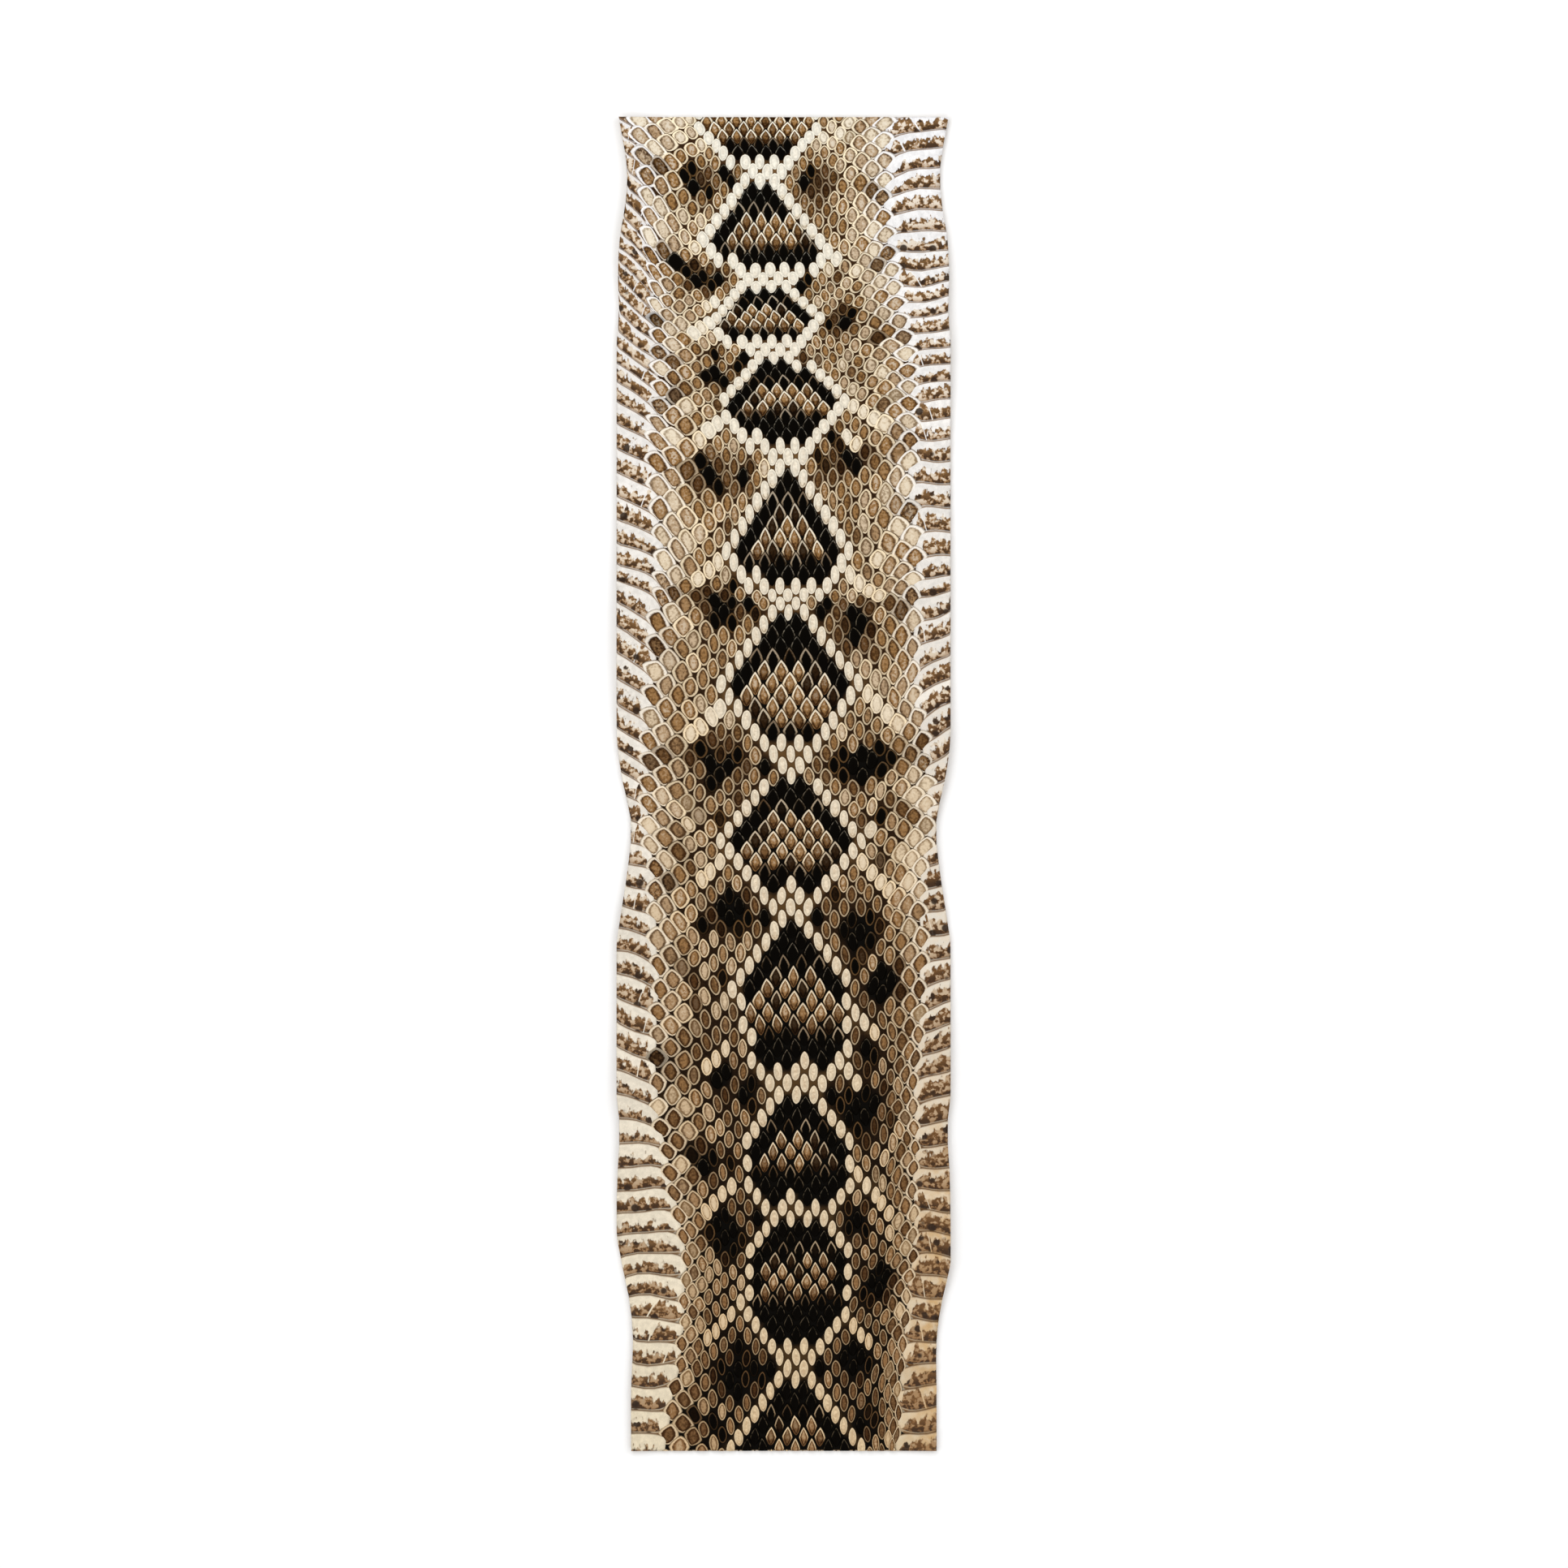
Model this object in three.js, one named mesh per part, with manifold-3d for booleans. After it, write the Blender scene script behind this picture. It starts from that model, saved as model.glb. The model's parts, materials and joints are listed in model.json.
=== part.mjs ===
// A strip of tanned diamondback rattlesnake skin, laid flat with its scales up.
//
// Millimetres, +Z up. +X is the strip's right side and +Y runs towards the tail, where the free tips of the
// scales point. The origin is under the middle of the strip, on the surface that it lies on.
//
// A scale is named by its column, counted sideways from the middle row of the back, and its half-row, counted
// from the tail end towards the head. Scales sit where column plus half-row is even, as on a chessboard, so
// the places between them are the corners where four scales meet.
import * as THREE from "three";
import { mergeVertices } from "three/addons/utils/BufferGeometryUtils.js";
import Module from "manifold-3d";

// Driving dimensions
const LENGTH = 450;
const HALF_WIDTH = 56.3;
const GROOVE_HEIGHT = 0.7;
const SCALE_RISE = 0.65;
const SCUTE_RISE = 0.45;
const EDGE_LIFT = 2.2;
const FLAT_HALF_WIDTH = 36;

// Scales on the back: columns on each side of the middle one, and the half-rows made, cut to length later
const COLUMNS = 14;
const FIRST_HALF_ROW = -6;
const LAST_HALF_ROW = 128;
// The keel's top stands this share of a half-row nearer to the tail than the middle of its scale
const KEEL_SHIFT = 0.3;
// Outside this column the columns widen, and each one lies a little nearer to the tail than the one before
const BACK_COLUMNS = 8;
const FLANK_SKEW = 0.8;
// The free edge of a belly scute drops to the next one within this share of a half-row
const SCUTE_STEP = 0.3;

// How far along the strip each of these half-rows lies: [half-row, y]
const ROW_PLACES = [
  [-4.5, 225], [1, 209.8], [12, 173.4], [21, 149.3], [33, 114.1], [45, 66.8], [48, 57.8],
  [59, 13.8], [73, -37.6], [88, -97.1], [100, -142.9], [113, -189.7], [122.2, -225],
];

// Across the strip: [y, middle row's x, column pitch, half-width of scales on the left, and on the right]
const WIDTH_PLACES = [
  [225, -6.2, 2.45, 46, 43], [196, -5.3, 2.45, 42.7, 41], [170, -4.4, 2.5, 41.5, 42],
  [147, -1.2, 2.5, 43, 43.8], [122, 1, 2.55, 45, 44], [95, 1.4, 2.55, 46.5, 42.5],
  [73, 1.4, 2.6, 43.8, 45], [32, 2.1, 2.9, 48, 43], [-9.5, 2.5, 3, 50.5, 48],
  [-42, 2.5, 2.95, 47.8, 45], [-78, 3.7, 2.95, 47.8, 44], [-102.5, 4.2, 2.95, 49.5, 41],
  [-133, 5.2, 2.85, 46, 40], [-163, 5.1, 2.75, 39.5, 39.5], [-195, 4, 2.75, 39.5, 37],
  [-225, 4, 2.75, 45, 34.5],
];

// How far the side cuts stand in from the full width: [y, left, right]
const EDGE_INSETS = [
  [225, 0.7, 0.7], [207, 3.6, 3.6], [196, 3, 3], [184, 1.1, 1.1], [172, 0.5, 0.5], [158, 0.8, 0.8],
  [148, 0, 0], [18, 0, 0], [3, 1.6, 1.6], [-13, 4.9, 4.9], [-28, 3.8, 3.8], [-46, 1.1, 1.1],
  [-55, 0, 0], [-104, 0, 0], [-116, 1.1, 1.1], [-132, 0.3, 0.3], [-151, 0, 0], [-161, 1.6, 0],
  [-176, 4.6, 3.2], [-187, 5.5, 4.7], [-205, 4.9, 4.7], [-225, 4.9, 4.7],
];

// How steeply the belly scutes run towards the tail as they go outwards: [y, left, right]
const SCUTE_SLOPES = [
  [225, 0.7, 0.15], [190, 1, 0.12], [165, 0.9, 0.06], [145, 0.62, 0], [80, 0.5, 0.15], [25, 0.5, 0.4],
  [-60, 0.33, 0.25], [-100, 0.25, 0.18], [-125, 0.05, 0.1], [-160, 0, 0], [-225, 0, 0],
];

const OUTLINE_STEP = 9;
const UNDERSIDE_STEP = 22.5;
const SPARE = 3;
const CAP_BELOW = -12;
const CAP_ABOVE = 24;

const wasm = await Module();
wasm.setup();

// A smooth curve through the listed places: value number `field` of the list at the position t
function along(places, field, t) {
  const order = places[0][0] < places[places.length - 1][0] ? places : [...places].reverse();
  const last = order.length - 2;
  let k = 0;
  while (k < last && t > order[k + 1][0]) k += 1;
  const slope = (n) => {
    const before = order[Math.max(n - 1, 0)];
    const after = order[Math.min(n + 1, order.length - 1)];
    return (after[field] - before[field]) / (after[0] - before[0]);
  };
  const span = order[k + 1][0] - order[k][0];
  const s = (t - order[k][0]) / span;
  if (s < 0) return order[k][field] + slope(k) * (t - order[k][0]);
  if (s > 1) return order[k + 1][field] + slope(k + 1) * (t - order[k + 1][0]);
  const [s2, s3] = [s * s, s * s * s];
  return (2 * s3 - 3 * s2 + 1) * order[k][field] + (s3 - 2 * s2 + s) * span * slope(k)
    + (3 * s2 - 2 * s3) * order[k + 1][field] + (s3 - s2) * span * slope(k + 1);
}

// Where a column and half-row meet, in x and y
function place(column, halfRow) {
  const reach = Math.abs(column);
  const outer = Math.max(0, reach - BACK_COLUMNS);
  const y = along(ROW_PLACES, 1, halfRow);
  const pitch = along(WIDTH_PLACES, 2, y);
  const halfWidth = along(WIDTH_PLACES, column < 0 ? 3 : 4, y);
  const lastColumn = COLUMNS + 0.5;
  const widening = (halfWidth - pitch * lastColumn) * (outer / (lastColumn - BACK_COLUMNS)) ** 2;
  const x = along(WIDTH_PLACES, 1, y) + Math.sign(column) * (pitch * reach + widening);
  return [x, y + FLANK_SKEW * outer];
}

// How far the skin stands off the surface: the middle lies flat and the sides lift in slow waves
function lift(x, y) {
  const outwards = Math.max(0, (Math.abs(x) - FLAT_HALF_WIDTH) / (HALF_WIDTH - FLAT_HALF_WIDTH));
  const side = Math.sign(x);
  const wave = 0.5 + 0.3 * Math.sin(y / 23 + side) + 0.2 * Math.sin(y / 12.5 + 2 * side);
  return EDGE_LIFT * wave * outwards * outwards;
}

// A patch of surface under construction, with its corners found again by name
class Patch {
  constructor() {
    this.points = [];
    this.names = new Map();
    this.triangles = [];
  }

  point(name, x, y, height) {
    if (!this.names.has(name)) {
      this.names.set(name, this.points.length);
      this.points.push([x, y, lift(x, y) + height]);
    }
    return this.names.get(name);
  }

  // A triangle turned so that it faces up
  triangle(a, b, c) {
    const [p, q, r] = [this.points[a], this.points[b], this.points[c]];
    const up = (q[0] - p[0]) * (r[1] - p[1]) - (q[1] - p[1]) * (r[0] - p[0]);
    this.triangles.push(up > 0 ? [a, b, c] : [a, c, b]);
  }

  quad(a, b, c, d) {
    this.triangle(a, b, c);
    this.triangle(a, c, d);
  }

  // The closed body between the patch and a level plane below or above it
  body(level) {
    const count = this.points.length;
    const edges = new Set();
    for (const t of this.triangles) {
      t.forEach((from, n) => edges.add(`${from} ${t[(n + 1) % 3]}`));
    }
    const faces = [];
    const above = level > this.points[0][2];
    const add = (a, b, c) => faces.push(...(above ? [a, c, b] : [a, b, c]));
    for (const [a, b, c] of this.triangles) {
      add(a, b, c);
      add(a + count, c + count, b + count);
    }
    for (const edge of edges) {
      const [from, to] = edge.split(" ").map(Number);
      if (edges.has(`${to} ${from}`)) continue;
      add(from, from + count, to + count);
      add(from, to + count, to);
    }
    const corners = [...this.points, ...this.points.map(([x, y]) => [x, y, level])];
    return solid(corners.flat(), faces);
  }
}

function solid(positions, faces) {
  const mesh = new wasm.Mesh({
    numProp: 3,
    vertProperties: new Float32Array(positions),
    triVerts: new Uint32Array(faces),
  });
  return new wasm.Manifold(mesh);
}

// Keeled scales of the back and flanks: each is a low four-sided point between its four corners
function addBackScales(patch) {
  const corner = (column, halfRow) =>
    patch.point(`back ${column} ${halfRow}`, ...place(column, halfRow), GROOVE_HEIGHT);
  for (let column = -COLUMNS; column <= COLUMNS; column += 1) {
    for (let halfRow = FIRST_HALF_ROW; halfRow <= LAST_HALF_ROW; halfRow += 1) {
      if ((column + halfRow) % 2 !== 0) continue;
      const [x, y] = place(column, halfRow - KEEL_SHIFT);
      const keel = patch.point(`keel ${column} ${halfRow}`, x, y, GROOVE_HEIGHT + SCALE_RISE);
      const left = corner(column - 1, halfRow);
      const tail = corner(column, halfRow - 1);
      const right = corner(column + 1, halfRow);
      const head = corner(column, halfRow + 1);
      patch.triangle(keel, left, tail);
      patch.triangle(keel, tail, right);
      patch.triangle(keel, right, head);
      patch.triangle(keel, head, left);
    }
  }
}

// Belly scutes of one side: broad shingles, each with a free edge that stands over the next one's base
function addScutes(patch, side) {
  const innerColumn = side * (COLUMNS + 1);
  const line = (halfRow, height) => {
    const [x0, y0] = place(innerColumn, halfRow);
    const x1 = side * (HALF_WIDTH + SPARE);
    const slope = along(SCUTE_SLOPES, side < 0 ? 1 : 2, y0);
    const y1 = y0 + slope * Math.abs(x1 - x0);
    const inner = patch.point(`back ${innerColumn} ${halfRow}`, x0, y0, height);
    const outer = patch.point(`edge ${innerColumn} ${halfRow}`, x1, y1, height);
    return [inner, outer];
  };
  for (let halfRow = FIRST_HALF_ROW; halfRow < LAST_HALF_ROW; halfRow += 2) {
    const tailLine = line(halfRow, GROOVE_HEIGHT);
    const freeEdge = line(halfRow + SCUTE_STEP, GROOVE_HEIGHT + SCUTE_RISE);
    const headLine = line(halfRow + 2, GROOVE_HEIGHT);
    const [x, y] = place(side * COLUMNS, halfRow + 1);
    const notch = patch.point(`back ${side * COLUMNS} ${halfRow + 1}`, x, y, GROOVE_HEIGHT);
    patch.triangle(notch, tailLine[0], freeEdge[0]);
    patch.triangle(notch, freeEdge[0], headLine[0]);
    patch.quad(tailLine[0], freeEdge[0], freeEdge[1], tailLine[1]);
    patch.quad(freeEdge[0], headLine[0], headLine[1], freeEdge[1]);
  }
}

// Everything under the scales
function belowScales() {
  const patch = new Patch();
  addBackScales(patch);
  addScutes(patch, -1);
  addScutes(patch, 1);
  return patch.body(CAP_BELOW);
}

// Everything over the leather's underside
function aboveUnderside() {
  const patch = new Patch();
  const outer = HALF_WIDTH + SPARE;
  const middle = (FLAT_HALF_WIDTH + HALF_WIDTH) / 2;
  const columns = [-outer, -middle, -FLAT_HALF_WIDTH, FLAT_HALF_WIDTH, middle, outer];
  const steps = LENGTH / UNDERSIDE_STEP + 2;
  const corner = (n, step) => {
    const y = -LENGTH / 2 + (step - 1) * UNDERSIDE_STEP;
    return patch.point(`${n} ${step}`, columns[n], y, 0);
  };
  for (let step = 0; step < steps; step += 1) {
    for (let n = 0; n < columns.length - 1; n += 1) {
      patch.quad(corner(n, step), corner(n + 1, step), corner(n + 1, step + 1), corner(n, step + 1));
    }
  }
  return patch.body(CAP_ABOVE);
}

// The strip's cut outline as an upright block
function outlineBlock() {
  const steps = LENGTH / OUTLINE_STEP;
  const side = (sign, field) => Array.from({ length: steps + 1 }, (_, step) => {
    const y = -LENGTH / 2 + step * OUTLINE_STEP;
    const inset = Math.max(0, along(EDGE_INSETS, field, y));
    return new THREE.Vector2(sign * (HALF_WIDTH - inset), y);
  });
  const outline = new THREE.Shape([...side(1, 2), ...side(-1, 1).reverse()]);
  const depth = CAP_ABOVE - CAP_BELOW;
  const block = new THREE.ExtrudeGeometry(outline, { depth, bevelEnabled: false });
  block.translate(0, 0, CAP_BELOW);
  block.deleteAttribute("normal");
  block.deleteAttribute("uv");
  const merged = mergeVertices(block);
  return solid(merged.getAttribute("position").array, merged.getIndex().array);
}

function skinGeometry() {
  const skin = belowScales().intersect(aboveUnderside()).intersect(outlineBlock());
  const { vertProperties, triVerts } = skin.getMesh();
  const geometry = new THREE.BufferGeometry();
  geometry.setAttribute("position", new THREE.BufferAttribute(vertProperties, 3));
  geometry.setIndex(new THREE.BufferAttribute(triVerts, 1));
  geometry.computeVertexNormals();
  return geometry;
}

const leather = new THREE.MeshStandardMaterial({
  color: 0x8a7253,
  roughness: 0.55,
  metalness: 0,
  flatShading: true,
});

const skin = new THREE.Mesh(skinGeometry(), leather);
skin.name = "snake_skin";

const strip = new THREE.Group();
strip.add(skin);

export default strip;
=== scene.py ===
import json
import math
from typing import NamedTuple

import bmesh
import bpy
import numpy as np
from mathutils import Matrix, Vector

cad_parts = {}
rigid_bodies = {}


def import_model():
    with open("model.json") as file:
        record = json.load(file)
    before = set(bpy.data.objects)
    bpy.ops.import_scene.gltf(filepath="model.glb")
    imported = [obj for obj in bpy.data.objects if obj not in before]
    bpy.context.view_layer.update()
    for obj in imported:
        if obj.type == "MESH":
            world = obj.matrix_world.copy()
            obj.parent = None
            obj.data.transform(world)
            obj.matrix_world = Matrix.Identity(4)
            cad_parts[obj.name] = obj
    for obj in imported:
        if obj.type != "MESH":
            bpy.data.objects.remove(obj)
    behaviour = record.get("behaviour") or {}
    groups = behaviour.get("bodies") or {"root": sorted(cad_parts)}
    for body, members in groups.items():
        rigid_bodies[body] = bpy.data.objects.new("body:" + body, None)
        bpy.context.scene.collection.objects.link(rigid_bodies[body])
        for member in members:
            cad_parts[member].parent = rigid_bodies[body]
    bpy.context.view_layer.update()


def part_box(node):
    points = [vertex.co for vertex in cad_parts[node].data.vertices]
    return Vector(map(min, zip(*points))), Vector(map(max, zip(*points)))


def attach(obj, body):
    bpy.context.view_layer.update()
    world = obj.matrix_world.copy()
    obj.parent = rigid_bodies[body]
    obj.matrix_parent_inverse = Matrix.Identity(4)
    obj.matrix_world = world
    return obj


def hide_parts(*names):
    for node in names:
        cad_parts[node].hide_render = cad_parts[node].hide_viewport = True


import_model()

bl_info = {
    "name": "Tanned Snake Skin",
    "version": (1, 0, 0),
    "blender": (4, 5, 0),
    "location": "3D View > Sidebar > Snake Skin",
    "description": "Builds a flat strip of tanned rattlesnake skin with its scales up",
    "category": "Add Mesh",
}

NODE = "snake_skin"
BODY = "root"
MM = 0.001
LOW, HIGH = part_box(NODE)

# Lengths below are millimetres. A place on the skin is named by its column, counted sideways from the
# middle row of the back, and its half-row, counted from the tail end. Scales sit where their sum is even.
LENGTH = (HIGH[1] - LOW[1]) / MM
HALF_WIDTH = (HIGH[0] - LOW[0]) / MM / 2
FLAT_HALF_WIDTH = 36
COLUMNS = 14
BACK_COLUMNS = 8
FIRST_HALF_ROW = -6
LAST_HALF_ROW = 128
FLANK_SKEW = 0.8
SEED = 7

# How far along the strip each of these half-rows lies: half-row, y
ROW_PLACES = [
    (-4.5, 225), (1, 209.8), (12, 173.4), (21, 149.3), (33, 114.1), (45, 66.8), (48, 57.8),
    (59, 13.8), (73, -37.6), (88, -97.1), (100, -142.9), (113, -189.7), (122.2, -225),
]

# Across the strip: y, middle row's x, column pitch, half-width of scales on the left, and on the right
WIDTH_PLACES = [
    (225, -6.2, 2.45, 46, 43), (196, -5.3, 2.45, 42.7, 41), (170, -4.4, 2.5, 41.5, 42),
    (147, -1.2, 2.5, 43, 43.8), (122, 1, 2.55, 45, 44), (95, 1.4, 2.55, 46.5, 42.5),
    (73, 1.4, 2.6, 43.8, 45), (32, 2.1, 2.9, 48, 43), (-9.5, 2.5, 3, 50.5, 48),
    (-42, 2.5, 2.95, 47.8, 45), (-78, 3.7, 2.95, 47.8, 44), (-102.5, 4.2, 2.95, 49.5, 41),
    (-133, 5.2, 2.85, 46, 40), (-163, 5.1, 2.75, 39.5, 39.5), (-195, 4, 2.75, 39.5, 37),
    (-225, 4, 2.75, 45, 34.5),
]

# How far the side cuts stand in from the full width: y, left, right
EDGE_INSETS = [
    (225, 0.7, 0.7), (207, 3.6, 3.6), (196, 3, 3), (184, 1.1, 1.1), (172, 0.5, 0.5), (158, 0.8, 0.8),
    (148, 0, 0), (18, 0, 0), (3, 1.6, 1.6), (-13, 4.9, 4.9), (-28, 3.8, 3.8), (-46, 1.1, 1.1),
    (-55, 0, 0), (-104, 0, 0), (-116, 1.1, 1.1), (-132, 0.3, 0.3), (-151, 0, 0), (-161, 1.6, 0),
    (-176, 4.6, 3.2), (-187, 5.5, 4.7), (-205, 4.9, 4.7), (-225, 4.9, 4.7),
]

# How steeply the belly scutes run towards the tail as they go outwards: y, left, right
SCUTE_SLOPES = [
    (225, 0.7, 0.15), (190, 1, 0.12), (165, 0.9, 0.06), (145, 0.62, 0), (80, 0.5, 0.15), (25, 0.5, 0.4),
    (-60, 0.33, 0.25), (-100, 0.25, 0.18), (-125, 0.05, 0.1), (-160, 0, 0), (-225, 0, 0),
]


class Diamond(NamedTuple):
    """A dark diamond of the back. Its two cream borders are walks over the scales, as (column, half-row)
    turning points, and dark holds its first and last half-row inside them. Its brown band is (middle column,
    first half-row, half-width there, last half-row)."""
    left: tuple
    right: tuple
    dark: tuple
    band: tuple


def even_diamond(point, corner, foot, dark, band):
    """A diamond whose right border mirrors its left one."""
    left = (point, corner, foot)
    return Diamond(left, tuple((-column, half_row) for column, half_row in left), dark, band)


DIAMONDS = (
    Diamond(((-9, -7), (-9, -3), (-5, 1)), ((7, -7), (7, -3), (3, 1)), (-6, 0), (-1, -6, 6, -2)),
    Diamond(((-3, 3), (-9, 9), (-7, 11), (-5, 11), (-4, 12)), ((1, 3), (8, 10), (6, 12), (4, 12)),
            (4, 11), (0, 7, 3, 9)),
    Diamond(((-4, 14), (-9, 19), (-7, 21), (-5, 21)), ((2, 14), (6, 18), (3, 21)), (15, 20), (-2, 17, 3, 19)),
    Diamond(((-3, 23), (-8, 28), (-8, 30), (-5, 33)), ((1, 23), (2, 24), (4, 24), (7, 27), (7, 29), (3, 33)),
            (24, 32), (0, 27, 3, 29)),
    Diamond(((-2, 36), (-8, 42), (-5, 45), (-3, 45)), ((2, 36), (8, 42), (4, 46)), (36, 44), (0, 39, 1, 42)),
    even_diamond((-2, 48), (-8, 54), (-3, 59), (49, 58), (0, 53, 3, 57)),
    even_diamond((-3, 63), (-8, 68), (-3, 73), (63, 72), (0, 66, 2, 70)),
    Diamond(((-2, 76), (-6, 80), (-7, 81), (-6, 82), (-6, 84), (-5, 85), (-5, 87), (-4, 88)),
            ((2, 76), (6, 80), (6, 82), (7, 83), (6, 84), (6, 86), (4, 88)), (76, 87), (0, 80, 2, 84)),
    Diamond(((-3, 91), (-6, 94), (-6, 98), (-4, 100)), ((3, 91), (6, 94), (6, 98), (4, 100)),
            (91, 99), (0, 94, 2, 96)),
    Diamond(((-4, 102), (-6, 104), (-6, 110), (-3, 113)), ((4, 102), (6, 104), (6, 110), (3, 113)),
            (102, 112), (0, 105, 3, 108)),
    even_diamond((-2, 116), (-8, 122), (-8, 130), (117, 128), (0, 120, 2, 128)),
)

# Cream clusters between the diamonds, one column narrower each half-row: first half-row, middle column,
# half-width, number of half-rows
CLUSTERS = (
    (1, 0, 3, 3), (12, 0, 4, 3), (21, -1, 4, 3), (33, 0, 3, 3), (45, 0, 3, 4), (59, 0, 3, 4),
    (73, 0, 3, 3), (88, 0, 4, 3), (100, 0, 4, 2), (113, 0, 3, 4), (72, 0, 0, 1), (87, 1, 0, 1),
    (99, -1, 0, 1), (32, -4, 0, 1), (44, -4, 0, 1),
)

# Dark patches of the flanks: column, half-row, reach sideways, reach along
PATCHES = (
    (-9.5, 3.3, 1.7, 1.5), (-5.6, 2.3, 1.2, 1.2), (6.2, 3.3, 2.2, 1.4), (-12.5, 12, 0.8, 0.8),
    (-10, 13.6, 1.4, 1.4), (-7.2, 13.3, 1.3, 1.1), (8.6, 18.8, 1.6, 1.6), (4.4, 14.2, 0.8, 0.8),
    (-5.4, 23.4, 0.9, 1), (-9, 25.6, 1.5, 1.2), (8, 34.3, 2.3, 1.2), (4.7, 34.8, 0.9, 1),
    (-5.5, 35.6, 1, 1.1), (-10, 36, 2, 1.5), (-8.4, 47.8, 2.3, 1.5), (-4.9, 47.4, 0.9, 1),
    (8, 49, 1.8, 1.7), (4.4, 47.4, 0.9, 1), (-8, 60.8, 2.4, 1.5), (-3.4, 61, 0.8, 0.8), (8.2, 61, 3, 1.4),
    (-6.8, 74.3, 1.8, 1.6), (-3.2, 75, 0.8, 0.8), (7.6, 76.2, 2, 1.5), (3.2, 75, 0.8, 0.8),
    (10, 81, 1.8, 1.4), (-8.8, 88, 1.4, 1.6), (-5.6, 89.8, 1, 1.2), (7.6, 91.3, 2.4, 1.5),
    (4.2, 90, 0.8, 0.8), (8, 86.5, 0.9, 1.2), (-9, 102.6, 1.7, 1.9), (-5.1, 101, 0.8, 0.8),
    (-11, 96.6, 1.2, 1.2), (6.9, 101.2, 1.3, 1.2), (9.8, 107.3, 1.8, 1.5), (-6.6, 115.8, 2.3, 1.5),
    (-3.4, 115, 0.8, 0.8), (7.2, 114, 1.6, 1.6), (3.2, 115, 0.8, 0.8), (8.6, 119.5, 1.2, 1.5),
)

# Dark spots where the flanks meet the belly scutes: half-rows on the left, and on the right
LEFT_SPOTS = (2.9, 11.6, 20, 24.5, 29.5, 47, 52, 61.5, 73, 88)
RIGHT_SPOTS = (5.4, 12.5, 34, 39.5, 49, 61.5)

# Runs of pale scales that lead outwards from the diamonds' side corners: column, half-row, steps
PALE_RUNS = (
    (-9, 9, 2), (-8, 16, 2), (-10, 20, 2), (8, 10, 2), (-9, 31, 3), (9, 28, 4), (8, 32, 2), (-9, 43, 3),
    (8, 44, 4), (-8, 56, 4), (9, 55, 4), (8, 70, 4), (-8, 70, 3), (-8, 86, 3), (8, 84, 2), (7, 97, 5),
    (-8, 98, 4), (-7, 109, 5), (7, 111, 3), (6, 88, 2),
)


def along(places, field, position):
    """A smooth curve through the listed places, at one position or an array of them."""
    table = np.array(sorted(places), float)
    at, value = table[:, 0], table[:, field]
    last = len(at) - 1
    before = np.maximum(np.arange(last + 1) - 1, 0)
    after = np.minimum(np.arange(last + 1) + 1, last)
    slope = (value[after] - value[before]) / (at[after] - at[before])
    position = np.asarray(position, float)
    k = np.clip(np.searchsorted(at, position) - 1, 0, last - 1)
    span = at[k + 1] - at[k]
    s = (position - at[k]) / span
    inner = (
        (2 * s**3 - 3 * s**2 + 1) * value[k] + (s**3 - 2 * s**2 + s) * span * slope[k]
        + (3 * s**2 - 2 * s**3) * value[k + 1] + (s**3 - s**2) * span * slope[k + 1]
    )
    low = value[k] + slope[k] * (position - at[k])
    high = value[k + 1] + slope[k + 1] * (position - at[k + 1])
    return np.where(s < 0, low, np.where(s > 1, high, inner))


def by_side(places, field, sideways, position):
    """A value that a list gives for the left side, and in its next field for the right side."""
    return np.where(sideways < 0, along(places, field, position), along(places, field + 1, position))


def place(column, half_row):
    """Where a column and half-row meet, as x and y."""
    column = np.asarray(column, float)
    y = along(ROW_PLACES, 1, half_row)
    pitch = along(WIDTH_PLACES, 2, y)
    half_width = by_side(WIDTH_PLACES, 3, column, y)
    outer = np.maximum(0, np.abs(column) - BACK_COLUMNS)
    last = COLUMNS + 0.5
    widening = (half_width - pitch * last) * (outer / (last - BACK_COLUMNS)) ** 2
    x = along(WIDTH_PLACES, 1, y) + np.sign(column) * (pitch * np.abs(column) + widening)
    return x, y + FLANK_SKEW * outer


def lift(x, y, edge_lift):
    """How far the skin stands off the surface: the middle lies flat and the sides lift in slow waves."""
    outwards = np.maximum(0, (np.abs(x) - FLAT_HALF_WIDTH) / (HALF_WIDTH - FLAT_HALF_WIDTH))
    side = np.sign(x)
    wave = 0.5 + 0.3 * np.sin(y / 23 + side) + 0.2 * np.sin(y / 12.5 + 2 * side)
    return edge_lift * wave * outwards**2


def side_cut(side, y):
    """The x of the cut along one side."""
    inset = along(EDGE_INSETS, 1 if side < 0 else 2, y)
    return side * (HALF_WIDTH - np.maximum(0, inset))


def sway(x, y):
    """How far the skin's own unevenness shifts a place, sideways and lengthwise."""
    outer = np.clip((np.abs(x) - 20) / 14, 0, 1)
    sideways = (0.1 + 0.2 * outer) * (np.sin(y / 5.3 + 1.3 * np.sin(x / 11)) + np.sin(y / 2.9 + x / 6.1))
    slow = np.sin(x / 4.7 + 2.1 * np.sin(y / 19)) + 0.4 * np.sin(x / 2.3 + y / 7.7)
    lengthwise = (0.12 + 0.6 * outer) * slow
    return sideways, lengthwise


def walk(turning_points):
    """Every scale on a border that runs through these turning points."""
    column, half_row = turning_points[0]
    scales = [(column, half_row)]
    for next_column, next_half_row in turning_points[1:]:
        while (column, half_row) != (next_column, next_half_row):
            sideways, onwards = next_column - column, next_half_row - half_row
            step = 1 if sideways and onwards else 2
            column += step * (sideways > 0) - step * (sideways < 0)
            half_row += step * (onwards > 0) - step * (onwards < 0)
            scales.append((column, half_row))
    return scales


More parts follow.
